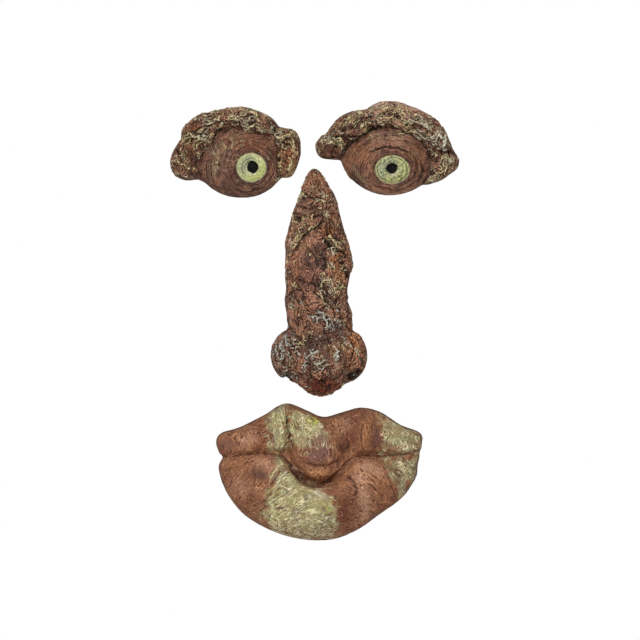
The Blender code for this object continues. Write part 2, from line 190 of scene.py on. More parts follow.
def patchy(s, low, high, size, seed, octaves=1):
    """Patches on a casting: 0 where the noise is under low, and 1 where it is over high."""
    return smooth(low, high, rough(s.rest, size, octaves, seed))


def painted(s, lift, paint, marks):
    """Carves and tints a list of marks: (path, width, height, colour, strength).

    Dark tints along carved grooves are dark paint with painted shade, and light tints along
    raised ridges are partly painted highlight.
    """
    ragged = [noise(s.rest, 2.6, 71), s.rest[:, 1], noise(s.rest, 2.6, 72)]
    x, _, z = (s.rest + 0.7 * np.stack(ragged, axis=1)).T
    for line, width, height, colour, strength in marks:
        on = stroke(x, z, line, width)
        lift += height * on
        if colour is not None:
            paint[:] = mix(paint, colour, strength * on)


def painted_lines(s, lines, width):
    """1 on thin lines that waver like the grain."""
    x, _, z = swirled(s.rest, 3.4, 1.6, 73).T
    return np.max([stroke(x, z, line, width) for line in lines], axis=0)


# Paints, as linear red, green and blue

TERRACOTTA = np.array((0.250, 0.095, 0.045))
ORANGE_CLAY = np.array((0.420, 0.175, 0.075))
DUSTY_CLAY = np.array((0.300, 0.140, 0.085))
DUSTY_BROWN = np.array((0.150, 0.066, 0.046))
RED_BROWN = np.array((0.140, 0.044, 0.024))
PURPLE_BROWN = np.array((0.090, 0.043, 0.036))
# Near black, for dark washes and for painted shade and shadow in grooves, creases and pits.
DARK_WASH_AND_SHADE = np.array((0.014, 0.007, 0.005))
CREAM = np.array((0.76, 0.62, 0.32))
PALE_CREAM = np.array((0.84, 0.80, 0.60))
GREY_CREAM = np.array((0.60, 0.60, 0.52))
MOSS = np.array((0.500, 0.485, 0.225))
GREY_MOSS = np.array((0.300, 0.290, 0.190))
LIME = np.array((0.60, 0.64, 0.13))
IRIS_PALE = np.array((0.68, 0.68, 0.33))
IRIS_GREY = np.array((0.42, 0.45, 0.27))
IRIS_LIME = np.array((0.52, 0.56, 0.12))
PUPIL_BLACK = np.array((0.003, 0.003, 0.003))
BARE_RESIN = np.array((0.16, 0.11, 0.085))
# Tan for the painted highlights along the tops of the lips.
TAN_HIGHLIGHT = np.array((0.60, 0.33, 0.205))
# Darker reds and the shadow colour tint carved grooves and creases: dark paint with painted shade.
DEEP_RED = RED_BROWN * 0.3
DARK_RED = RED_BROWN * 0.4
DULL_RED = RED_BROWN * 0.5
SHADOW = DARK_WASH_AND_SHADE * 2
DULL_CREAM = CREAM * 0.8
DIM_CREAM = CREAM * 0.7


def bake(piece):
    """Replaces a piece's mesh by what its modifiers make of it."""
    graph = bpy.context.evaluated_depsgraph_get()
    mesh = bpy.data.meshes.new_from_object(piece.evaluated_get(graph))
    piece.modifiers.clear()
    piece.data = mesh


def thin_back(piece):
    """Leaves few points in the flat back, where no carving needs them."""
    mesh = piece.data
    depth = np.empty(len(mesh.vertices) * 3)
    mesh.vertices.foreach_get("co", depth)
    flat = np.abs(depth[1::3]) < FLAT_WITHIN * MM
    corners = np.empty(len(mesh.polygons) * 4, int)
    mesh.polygons.foreach_get("vertices", corners)
    on_back = flat[corners.reshape(-1, 4)].all(axis=1).mean()
    group = piece.vertex_groups.new(name="back")
    group.add(np.flatnonzero(flat).tolist(), 1.0, "REPLACE")
    thin = piece.modifiers.new("Thin", "DECIMATE")
    thin.vertex_group = group.name
    thin.vertex_group_factor = BACK_FIRST
    thin.ratio = 1.0 - BACK_THINNED * on_back
    bake(piece)
    piece.vertex_groups.clear()


class Surface:
    """One casting's fine mesh as arrays, in its own frame."""

    def __init__(self, name):
        self.name = name
        self.place = PLACES[name]
        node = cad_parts[name]
        piece = bpy.data.objects.new("carved_" + name, node.data.copy())
        bpy.context.collection.objects.link(piece)
        fine = piece.modifiers.new("Fine", "REMESH")
        fine.mode = "VOXEL"
        fine.voxel_size = VOXEL[name] * MM
        bake(piece)
        thin_back(piece)
        mesh = piece.data
        mesh.materials.clear()
        self.piece = piece
        self.mesh = mesh
        count = len(mesh.vertices)
        flat = np.empty(count * 3)
        mesh.vertices.foreach_get("co", flat)
        world = flat.reshape(-1, 3) / MM
        self.p = np.stack(
            [world[:, 0] - self.place[0], -world[:, 1], world[:, 2] - self.place[1]], axis=1
        )
        ends = np.empty(len(mesh.edges) * 2, int)
        mesh.edges.foreach_get("vertices", ends)
        self.a, self.b = ends.reshape(-1, 2).T
        self.valence = np.bincount(np.concatenate([self.a, self.b]), minlength=count)
        x, depth, z = self.p.T
        middle, low = KEYHOLES[name]
        beside = np.hypot(x - middle, z - np.clip(z, low, low + KEYHOLE_RISE))
        hanger = (beside < KEYHOLE_REACH) & (depth < KEYHOLE_DEPTH)
        self.free = smooth(0.4, 3.0, depth) * ~hanger
        self.bare = np.maximum(smooth(0.0, 0.25, 0.3 - depth), hanger)
        for _ in range(SMOOTHING_ROUNDS):
            self.relax(0.6)
        for _ in range(SMOOTHING_ROUNDS):
            self.relax(-0.25)
            self.relax(0.5)
        self.rest = self.p.copy()
        self.facing = np.clip(self.normals()[:, 1], 0.0, 1.0)

    def mean(self, values):
        """Each point's neighbours' average."""
        total = np.stack(
            [
                np.bincount(self.a, column[self.b], len(self.p))
                + np.bincount(self.b, column[self.a], len(self.p))
                for column in values.T
            ],
            axis=1,
        )
        return total / np.maximum(self.valence, 1)[:, None]

    def relax(self, amount):
        self.p += amount * self.free[:, None] * (self.mean(self.p) - self.p)

    def normals(self):
        self.write()
        flat = np.empty(len(self.p) * 3)
        self.mesh.vertex_normals.foreach_get("vector", flat)
        return flat.reshape(-1, 3) * (1.0, -1.0, 1.0)

    def write(self):
        x = self.p[:, 0] + self.place[0]
        z = self.p[:, 2] + self.place[1]
        flat = np.stack([x, -self.p[:, 1], z], axis=1) * MM
        self.mesh.vertices.foreach_set("co", flat.ravel())
        self.mesh.update()

    def raise_by(self, height):
        """Moves the surface out along its normals, less on the sides and near the back."""
        height = height * (0.5 + 0.5 * self.facing) - INSET[self.name] * (1 - self.facing)
        self.p += self.normals() * (height * self.free)[:, None]

    def slope(self, values):
        """How fast values change along the surface, per millimetre."""
        step = np.linalg.norm(self.rest[self.a] - self.rest[self.b], axis=1)
        rate = np.abs(values[self.a] - values[self.b]) / np.maximum(step, 0.05)
        steepest = np.full(len(values), 0.03)
        np.maximum.at(steepest, self.a, rate)
        np.maximum.at(steepest, self.b, rate)
        return steepest

    def hollowness(self, rounds):
        """How far each point lies below its surroundings, in millimetres."""
        around = self.p
        for _ in range(rounds):
            around = self.mean(around)
        return ((around - self.p) * self.normals()).sum(axis=1)


def grained(s, seed, size, lines, flow):
    """Bark grain: wavy lines side by side, like contours on a map, broken into patches.

    Gives their relief, the raised lines, the shade beside them, and how easily a brush finds
    each line. Flow is the points in coordinates that are short along the lines.
    """
    ways = []
    for k in range(2):
        curly = swirled(flow, 0.8 * size, 0.4 * size, seed + 5 * k)
        bulk = noise(curly, size * (1 - 0.25 * k), seed + 3 + 5 * k)
        level = lines * (bulk + 0.34 * noise(curly, 0.42 * size, seed + 4 + 5 * k))
        ways.append((level % 1.0 - 0.5) / s.slope(level))
    away = np.where(noise(s.rest, 0.9 * size, seed + 17) > 0, *ways)
    raised = ridge(away, 0.55)
    sunk = ridge(away - 1.05, 0.5)
    strength = smooth(-0.5, 0.2, noise(s.rest, 0.7 * size, seed + 18))
    relief = strength * (0.8 * raised - 0.6 * sunk)
    found = noise(s.rest, 0.85 * size, seed + 9)
    return relief, raised * strength, sunk * patchy(s, -0.3, 0.3, 6.0, seed + 10), found


def creases(s, flow, seed, size, width):
    """1 along the bottoms of long folds that run with the grain."""
    bent = swirled(flow, size, 0.5 * size, seed)
    level = noise(bent, size, seed + 3) + 0.2 * noise(bent, 0.3 * size, seed + 4)
    away = level / s.slope(level)
    return ridge(away, width) * smooth(-0.5, 0.1, noise(flow, size, seed + 5))


def ground_paint(s, seed, lights, darks, size=11.0):
    """Mottled base coat between two browns."""
    share = smooth(-0.6, 0.6, rough(s.rest, size, 4, seed, 0.65))
    paint = mix(darks, lights, share)
    fleck = patchy(s, 0.2, 0.8, 2.6, seed + 11, 2)
    return mix(paint, paint * 1.35, fleck)


def tint(paint, colour, share):
    """Washes a colour over the paint where share says so."""
    return mix(paint, colour, np.clip(share, 0.0, 1.0))


def tinted(s, paint, tints, cloud):
    """Adds a list of cloudy tints: (middle, radii, colour, strength)."""
    x, _, z = s.rest.T
    for spot, reach, colour, strength in tints:
        paint = tint(paint, colour, strength * blob(x, z, spot, reach) * cloud)
    return paint


def darken(paint, kept, share):
    """Dark washes and painted shade where share says so, over what is kept of the paint."""
    return mix(paint, paint * kept + DARK_WASH_AND_SHADE, share)


def brushed_more(s, brushed, spots):
    """Adds a list of spots with more or less dry brushing: (middle, radii, change)."""
    x, _, z = s.rest.T
    for spot, reach, change in spots:
        brushed = brushed + change * blob(x, z, spot, reach)
    return brushed


def draw_lines(paint, thin, halo, colour):
    """Paints light lines on dark bands."""
    paint = mix(paint, paint * 0.35, 0.65 * halo)
    return mix(paint, colour, 0.95 * smooth(0.4, 0.8, thin))


def finish_paint(s, paint, lit, shade, found, brushed, brush_paint, strength=1.0, cracks=0.65):
    """Dark washes and painted shade in the hollows, painted highlight and dry brushing on raised
    edges, and painted shade on the rim at the back.
    """
    fine = s.hollowness(3)
    broad = s.hollowness(14)
    # Dark washes with painted shade: darker in fine and broad hollows and beside the raised lines.
    wash = smooth(0.0, 0.15, fine) * 0.8 + smooth(0.3, 1.4, broad) * 0.55 + 1.1 * shade
    wash = np.clip(wash, 0, 1) * strength
    paint = mix(paint, paint * 0.08 + DARK_WASH_AND_SHADE * 0.6, wash * 0.95)
    # Painted highlight: the paint made lighter on raised points, less where it is darkened.
    high = smooth(0.03, 0.2, -fine)
    paint = mix(paint, paint * 1.8, high * 0.7 * (1 - wash))
    reached = smooth(-0.1, 0.1, found + 1.2 * (brushed - 0.5))
    on = smooth(0.5, 0.8, lit) * reached * smooth(0.0, 0.2, brushed)
    paint = mix(paint, brush_paint * 1.25, 0.95 * on)
    # Painted shade on the sides, darkest at the back and fading out 7 mm from it.
    rim = 1.0 - smooth(0.5, 7.0, s.rest[:, 1])
    paint = darken(paint, 0.3, rim * 0.8)
    s.wash = np.clip(cracks + wash, 0, 1)
    s.brush = np.clip(1.6 * brushed, 0, 1) * (1 - 0.7 * wash) * (1 - 0.7 * rim)
    s.brush_paint = brush_paint
    return paint


def carve_eye(s, eye):
    """Lid rings round the iris and a crackled brow, and their paint, from the eye's own values."""
    seed = eye["seed"]
    x, _, z = s.rest.T
    iris, radii = eye["iris"], eye["radii"]
    dx, dz = (x - iris[0]) / radii[0], (z - iris[1]) / radii[1]
    ring = np.hypot(dx, dz) * eye["trim"]
    angle = np.arctan2(dz, dx)
    within = area(x, z, eye["lid"])
    ground = smooth(-0.8, 0.8, within + 0.7 * noise(s.rest, 4.0, seed))
    above = z + BROW_CENTRE
    along = eye["grain"] * BROW_RADIUS * np.arctan2(x, above)
    flow = np.stack([along, s.rest[:, 1], np.hypot(x, above)], axis=1)
    relief, lit_edge, shade, found = grained(s, seed, 8.0, 2.5, flow)
    folds = creases(s, flow * (0.8, 1.0, 1.0), seed + 30, 9.0, 0.9)
    turns = np.stack([2.2 * np.cos(angle), 2.2 * np.sin(angle), ring * 6.0], axis=1)
    wobble = 0.16 * rough(turns * (1, 1, 0.2), 1.0, 2, seed)
    phase = (ring * eye["rings"] + wobble) % 1.0
    groove = ridge(phase - 0.5, 0.15)
    lit = ridge(phase - 0.05, 0.12)
    fold_room = smooth(1.0, 1.1, ring) * (1 - smooth(eye["reach"] * 0.6, eye["reach"], ring))
    fold_room *= 0.3 + 0.7 * smooth(-0.4, 0.3, noise(turns, 1.7, seed + 13))
    fold_room *= 0.35 + 0.65 * smooth(-0.5, 0.7, np.cos(angle - eye["ringed"]))
    level = noise(turns * (0.9, 0.9, 1.1), 1.0, seed + 12) + 0.25 * noise(s.rest, 4.0, seed + 14)
    patches = patchy(s, -0.35, 0.25, 9.0, seed + 15)
    away = level / s.slope(level)
    curls = ridge(away, 0.5) * ground * patches
    curl_shade = ridge(away - 1.0, 0.5) * ground
    on_iris = 1 - smooth(0.97, 1.02, ring)
    off_iris = 1 - on_iris
    brow = (1 - ground) * off_iris
    craggy = rough(flow, 7.0, 3, seed + 6, 0.55)
    lift = (0.3 - 0.9 * groove) * fold_room + 0.3 * rough(s.rest, 7.0, 2, seed + 2) * off_iris
    lift += (1.2 * relief + 1.9 * craggy) * brow + 1.3 * ridge(within + 0.6, 2.4)
    lift += (0.35 * curls - 0.2 * curl_shade) * off_iris - 1.6 * folds * brow
    paint = ground_paint(s, seed, DUSTY_CLAY * 1.15, DUSTY_BROWN * 1.1)
    brow_paint = ground_paint(s, seed + 1, DUSTY_CLAY * 1.2, DUSTY_BROWN * 0.9, 8.0)
    paint = mix(brow_paint, paint, ground)
    paint = tinted(s, paint, eye["tints"], patchy(s, -0.8, 0.3, 5.0, 3))
    # Lid rings: dark paint and painted shade in the grooves, painted highlight on the lit edges.
    paint = darken(paint, 0.25, 0.85 * groove * fold_room)
    paint = mix(paint, paint * 1.7, 0.6 * lit * fold_room)
    # Painted shade along the bottoms of the folds in the brow.
    paint = darken(paint, 0.15, 0.85 * folds * brow)
    painted(s, lift, paint, eye["marks"])
    thin = painted_lines(s, eye["lines"], LINE_WIDTH)
    halo = painted_lines(s, eye["lines"], HALO_WIDTH)
    lift += 0.8 * thin
    s.raise_by(lift - 0.3)
    brushed = (1 - ground) * (0.42 + 0.3 * patchy(s, -0.3, 0.4, 8.0, seed + 21, 3))
    brushed = brushed + 0.15 * ground * patchy(s, -0.2, 0.4, 6.0, seed + 22, 3)
    brushed = np.clip(brushed_more(s, brushed, eye["brushed"]), 0, 1) * off_iris
    tone = patchy(s, -0.4, 0.5, 14.0, seed + 8)
    brush_paint = mix(CREAM, GREY_CREAM, tone * eye["greyness"])
    if eye["white"]:
        brush_paint = tint(brush_paint, PALE_CREAM, blob(x, z, *eye["white"]))
    lit_edge = np.maximum(lit_edge * (1 - ground), 0.9 * curls)
    shade = np.maximum(shade * brow, 0.4 * curl_shade * off_iris)
    creamed = 0.45 * curls * np.clip(brushed * 1.5, 0, 1) * off_iris
    paint = mix(paint, DULL_CREAM, creamed)
    cracks = 0.7 * brow + 0.25 * ground
    paint = finish_paint(
        s, paint, lit_edge, shade, found - 0.25 * ground, brushed, brush_paint, cracks=cracks
    )
    paint = draw_lines(paint, thin, halo, brush_paint * 1.25)
    return paint, ring, angle, on_iris


def paint_iris(s, eye, paint, ring, angle, on_iris):
    """Iris, pupil and rims painted on the eyeball, with painted highlights and shade at their
    edges.
    """
    x, _, z = s.rest.T
    lime = smooth(-0.2, 0.9, np.cos(angle + 0.9)) * smooth(0.35, 0.9, ring)
    iris = mix(IRIS_PALE, IRIS_LIME, eye["lime"] * lime)
    grey = 0.8 * smooth(-0.1, 0.8, -np.cos(angle + 0.6)) * (1 - smooth(0.75, 0.95, ring))
    iris = tint(iris, IRIS_GREY, grey)
    turns = np.stack([2.0 * np.cos(angle), 2.0 * np.sin(angle), ring * 9.0], axis=1)
    specks = smooth(0.1, 0.4, rough(turns * (2.2, 2.2, 0.9), 1.0, 2, 31))
    iris = mix(iris, iris * 0.22, specks * eye["specks"])
    for arc, middle, width in eye["arcs"]:
        near = ridge(ring - arc, 0.035) * smooth(-0.2, 0.6, np.cos(angle - middle) - 1 + width)
        iris = darken(iris, 0.1, 0.85 * near)
    iris = darken(iris, 0.2, smooth(0.93, 0.99, ring) * 0.8 * (1 - lime * eye["lime"]))
    px, pz, reach = eye["pupil"]
    away = np.hypot(x - px, z - pz) + 0.35 * noise(s.rest, 2.2, 7)
    # Painted highlight on one side of the pupil's edge, painted shade on the other.
    below = smooth(0.0, 0.8, -np.sin(np.arctan2(z - pz, x - px) + eye["rim"]))
    iris = tint(iris, PALE_CREAM, 0.9 * ridge(away - reach - 0.8, 0.5) * below)
    dusk = 0.8 * ridge(away - reach - 1.1, 0.45) * (1 - below) * eye["specks"]
    iris = tint(iris, DARK_WASH_AND_SHADE, dusk)
    iris = tint(iris, PUPIL_BLACK, 1 - smooth(reach - 0.35, reach + 0.2, away))
    s.wash = s.wash * (1 - on_iris)
    s.brush = s.brush * (1 - on_iris)
    paint = mix(paint, iris, on_iris)
    # Painted highlight along one side of the iris's edge.
    edge = ridge(ring - 1.01, 0.035) * smooth(-0.3, 0.7, np.cos(angle + 1.0))
    paint = tint(paint, PALE_CREAM * 0.95, 0.9 * edge * eye["lime"])
    outline = ridge(ring - 1.09, 0.04)
    return darken(paint, 0.1, 0.85 * outline)


LEFT_EYE = {
    "seed": 1,
    "iris": (12.2, -12.3),
    "radii": (11.6, 11.3),
    "pupil": (13.3, -12.1, 4.3),
    "trim": 1.05,
    "rings": 3.6,
    "reach": 2.5,
    "grain": 0.55,
    "ringed": -0.5,
    "lime": 0.6,
    "specks": 0.15,
    "arcs": [(0.62, 2.6, 1.1)],
    "rim": 0.8,
    "greyness": 0.45,
    "white": None,
    "lid": [
        (-29, -18), (-28, -8), (-22, 0), (-17, 6), (-14, 13), (-8, 18.5), (0, 18.5), (9, 14),
        (20, 13), (27, 13), (31, 2), (31.5, -10), (30, -20), (24, -31), (2, -38), (-22, -28),
    ],
    "tints": [
        ((-30, 18), (9, 8), TERRACOTTA * 1.3, 0.85),
        ((41, -7), (13, 18), ORANGE_CLAY * 1.3, 0.9),
        ((-33, 0), (9, 8), TERRACOTTA, 0.7),
        ((-9, 22), (10, 8), TERRACOTTA, 0.6),
        ((28, 16), (6, 6), TERRACOTTA, 0.7),
        ((-12, -4), (16, 18), PURPLE_BROWN * 1.5, 0.45),
        ((0, -26), (24, 8), PURPLE_BROWN * 1.3, 0.6),
        ((6, 5), (20, 9), RED_BROWN * 1.5, 0.75),
        ((-16, -8), (12, 14), DUSTY_BROWN * 1.05, 0.7),
    ],
    # Dark marks in creases and grooves are dark paint with painted shade; light ones partly painted
    # highlight.
    "marks": [
        ([(-30, -20), (-28.5, -8), (-22.5, 0), (-17.5, 6), (-14, 13), (-8, 18.5)],
         1.1, -0.9, DEEP_RED, 0.7),
        ([(-8, 18.5), (0, 20), (9, 14.5), (18, 12.8), (24, 15)], 1.1, -0.9, DEEP_RED, 0.7),
        ([(25.9, 18), (29, 11), (31.3, 1.5), (32, -9.6), (30.3, -20)], 1.2, -1.0, DEEP_RED, 0.75),
        ([(-39, 8.5), (-30.3, 10.7), (-22.9, 8.1), (-17, 6.5)], 0.8, 1.2, CREAM, 0.8),
        ([(-40, 11.5), (-31, 13.5), (-22.5, 11)], 1.3, -1.4, DEEP_RED, 0.7),
        ([(-27, 12), (-21, 18), (-13.5, 24), (-8, 27)], 0.9, 1.0, DULL_CREAM, 0.5),
        ([(-30, 15), (-30, 22)], 4.0, -2.0, None, 0),
        ([(28.1, 14.1), (34, 7.4), (39.2, 11.1), (46, 14)], 0.8, 1.1, CREAM, 0.7),
        ([(29, 11), (34.5, 4.4), (40, 8.5), (47, 11)], 1.2, -1.6, DEEP_RED, 0.7),
        ([(38, 4), (37, -6), (35, -15)], 1.3, -1.0, RED_BROWN, 0.6),
        ([(44, 3), (43, -8), (40, -15)], 1.2, 1.0, DULL_CREAM, 0.4),
        ([(-44, 2), (-43, -7), (-41, -15)], 1.6, -1.2, RED_BROWN, 0.5),
        ([(-38, 3), (-36, -6), (-33, -14)], 1.5, 1.0, DIM_CREAM, 0.4),
        ([(-15, 5), (-12, -1), (-13, -8)], 0.8, 0.4, DULL_CREAM, 0.3),
        ([(-10, 8), (-7, 2), (-8, -4)], 0.8, 0.4, DULL_CREAM, 0.35),
        ([(-4, 11), (-1, 6), (-3, 1)], 0.9, 0.4, DIM_CREAM, 0.5),
        ([(-17, -8), (-14, -14), (-15, -21)], 0.9, 0.4, DIM_CREAM, 0.4),
        ([(-22, -12), (-19, -19), (-14, -25)], 1.0, 0.3, PURPLE_BROWN * 1.2, 0.6),
        ([(-3, -28), (8, -31), (20, -28)], 0.9, -0.6, DARK_RED, 0.6),
        ([(-2, 24), (8, 27), (20, 22)], 1.5, -1.2, DARK_RED, 0.6),
    ],
    "lines": [
        [(-39, 10.8), (-33, 12), (-26, 9.8), (-18.5, 7.4)],
        [(-36, 12.6), (-30, 10.6), (-23, 7.4)],
        [(-24, 29), (-14, 30.4), (-4, 30)],
        [(2, 25), (8, 22.5), (14, 25), (20, 21)],
        [(4, 19), (10, 17.5), (16, 20), (21, 16)],
        [(8, 29), (14, 28), (19, 25)],
        [(28, 14), (33, 9), (38.6, 12), (45, 15)],
        [(32, 6), (36, 2), (41, 3)],
        [(38, -3), (42, -9), (39, -15)],
        [(-44, -4), (-41, -10), (-36, -9), (-33, -14)],
        [(-42, 3), (-38, -2), (-40, -7)],
        [(-30, 4), (-27, -2), (-28, -8)],
        [(-22, 18), (-16, 21), (-10, 25)],
    ],
    "brushed": [
        ((14, 22), (15, 9), 0.8),
        ((-2, 27), (14, 6), 0.5),
        ((-10, -8), (12, 16), 0.22),
        ((-2, 8), (16, 10), 0.22),
        ((38, 12), (12, 6), 0.35),
        ((40, -6), (8, 12), -0.2),
        ((-37, -7), (14, 18), -0.5),
        ((-32, 10), (14, 4), 0.6),
        ((-40, -8), (8, 12), 0.3),
        ((-30, 18), (7, 6), -0.7),
    ],
}

RIGHT_EYE = {
    "seed": 5,
    "iris": (2.8, -16.9),
    "radii": (13.0, 10.7),
    "pupil": (2.6, -16.1, 3.85),
    "trim": 1.01,
    "rings": 3.6,
    "reach": 2.2,
    "grain": 0.45,
    "ringed": -0.9,
    "lime": 0.35,
    "specks": 0.7,
    "arcs": [(0.86, 0.2, 1.2), (0.86, 3.6, 0.7), (0.62, -0.6, 0.8)],
    "rim": -0.5,
    "greyness": 0.5,
    "white": ((38, 4), (17, 12)),
    "lid": [
        (-34.5, -8), (-28, 2), (-20, 8.3), (-11, 14), (0, 16.5), (9, 13), (18, 8.2), (25, 5),
        (29, -3), (31, -12.6), (29, -23), (25, -30), (2, -39), (-24, -29),
    ],
    "tints": [
        ((0, 6), (28, 10), DUSTY_CLAY * (1.9, 2.1, 2.4), 0.85),
        # Lighter paint on the lower lid, which faces down: painted light.
        ((2, -34), (28, 11), DUSTY_CLAY * 2.1, 0.9),
        ((-18, -4), (10, 12), ORANGE_CLAY * 0.95, 0.6),
        ((-24, -6), (12, 12), ORANGE_CLAY * 0.8, 0.5),
        ((22, -4), (8, 14), ORANGE_CLAY * 0.75, 0.5),
        ((14, 12), (14, 6), RED_BROWN * 1.6, 0.6),
        ((44, -18), (12, 8), ORANGE_CLAY * 0.8, 0.6),
        ((-18, 20), (10, 5), TERRACOTTA * 0.8, 0.5),
        ((6, 27), (36, 15), DUSTY_CLAY * (2.4, 2.7, 3.4), 0.9),
        ((-44, -6), (9, 8), RED_BROWN * 0.8, 0.6),
    ],
    # Dark marks in creases and grooves are dark paint with painted shade; light ones partly painted
    # highlight.
    "marks": [
        ([(-35, -9), (-28.5, 2), (-20.5, 8.3), (-11, 14), (0, 16.4), (9, 13)],
         1.3, -1.6, SHADOW, 0.755),
        ([(9, 13), (18, 8.3), (25, 5), (29, -3), (31, -12.6), (29, -22), (25, -29)],
         1.1, -0.9, DEEP_RED, 0.75),
        ([(-15, -4.5), (-7.4, -0.9), (1, 0.3), (9, -1.0), (17, -5)], 1.0, -1.5, DULL_RED, 0.95),
        ([(-14, -1.5), (-6, 2.3), (2, 3.4), (11, 1.9), (18, -1.8)],
         1.9, 1.2, DUSTY_CLAY * 1.4, 0.5),
        ([(-25, -5), (-18, 3), (-8, 8.6), (3, 10.6), (13, 7)], 1.5, -0.5, PURPLE_BROWN * 1.3, 0.6),
        ([(-27, -12), (-22, -22), (-14, -29)], 1.2, 0.3, CREAM * 0.6, 0.35),
        ([(20, -8), (21.5, -17), (18, -26)], 0.9, -0.8, DARK_RED, 0.8),
        ([(24, -8), (26, -18), (22, -27)], 0.9, -0.7, DARK_RED, 0.7),
        ([(-12, -29), (2, -32), (14, -30)], 0.9, -0.7, DARK_RED, 0.7),
        ([(-52, 6.5), (-42, 8), (-33, 6), (-27, 4)], 1.3, -1.6, SHADOW, 0.6),
        ([(-51, 4), (-42, 5.5), (-33, 3)], 1.1, 1.2, CREAM, 0.5),
        ([(-38, 16), (-28, 19), (-18, 24), (-12, 25)], 1.2, 1.1, DULL_CREAM, 0.35),
        ([(-34, 11), (-24, 14), (-15, 19)], 1.3, -1.3, DEEP_RED, 0.65),
        ([(-13, 18), (-14, 26), (-11, 31)], 1.5, -1.5, DEEP_RED, 0.7),
        ([(-8, 22), (2, 24), (12, 21)], 1.4, -1.2, DEEP_RED, 0.65),
        ([(10, 18), (17, 19), (26, 16), (32, 11)], 0.8, 1.1, PALE_CREAM, 0.7),
        ([(10, 14.5), (18, 12), (26, 10), (32, 7)], 1.1, 1.0, CREAM, 0.4),
        ([(12, 16.3), (20, 15.4), (28, 12.6)], 1.2, -1.2, DARK_RED, 0.6),
        ([(14, 26), (24, 21), (34, 14)], 1.3, -1.2, DEEP_RED, 0.65),
        ([(30, 1), (38, -3), (47, -4)], 1.3, -1.5, DEEP_RED, 0.7),
        ([(31, -18), (39, -14), (48, -10)], 1.2, -1.0, RED_BROWN, 0.5),
        ([(30, -23), (38, -19), (46, -14)], 1.2, 1.0, CREAM, 0.4),
        ([(-46, -2), (-40, -5), (-36, -7)], 1.4, -1.0, RED_BROWN, 0.5),
    ],
    "lines": [
        [(-51, 5), (-45, 7.5), (-38, 6), (-33, 4.5)],
        [(-46, 2.5), (-41, 3.4), (-36, 1)],
        [(-36, 19), (-29, 22), (-22, 25.5)],
        [(-30, 15), (-24, 18), (-17, 20)],
        [(-10, 30), (-4, 27), (3, 30), (9, 26)],
        [(-8, 24), (-2, 21), (5, 23)],
        [(10, 15.5), (16, 19.6), (25, 18.6), (31, 13)],
        [(11, 13.4), (19, 11.4), (28, 13)],
        [(12, 27), (19, 24.5), (27, 21)],
        [(22, 9), (29, 6.5), (35, 8)],
        [(33, 3), (37, 7), (42, 5), (40, 0)],
        [(34, -1), (40, -3), (45, 0)],
        [(36, -10), (43, -9), (50, -12)],
        [(34, -18), (39, -22), (36, -25)],
    ],
    "brushed": [
        ((39, 4), (12, 9), 1.0),
        ((20, 16), (18, 10), 0.8),
        ((2, 28), (18, 9), 0.8),
        ((42, -14), (12, 9), 0.15),
        ((0, 9), (24, 7), 0.3),
        ((-45, 5), (9, 4), 0.5),
        ((-42, -5), (12, 9), -0.6),
        ((-24, 10), (10, 8), -0.2),
    ],
}


def make_eye(name, eye):
    s = Surface(name)
    return s, paint_iris(s, eye, *carve_eye(s, eye))


TORN_LEFT = [
    (-24, 17), (-21, 22), (-18, 27), (-15.5, 31.8), (-11.5, 34.8), (-8.1, 37.7), (-4, 39),
    (-1, 41.8), (1.5, 45),
]
TORN_RIGHT = [
    (2.5, 33.5), (4.8, 31.5), (7.4, 27.4), (11.1, 24.8), (14.8, 22.2), (18.5, 18), (21, 14),
]
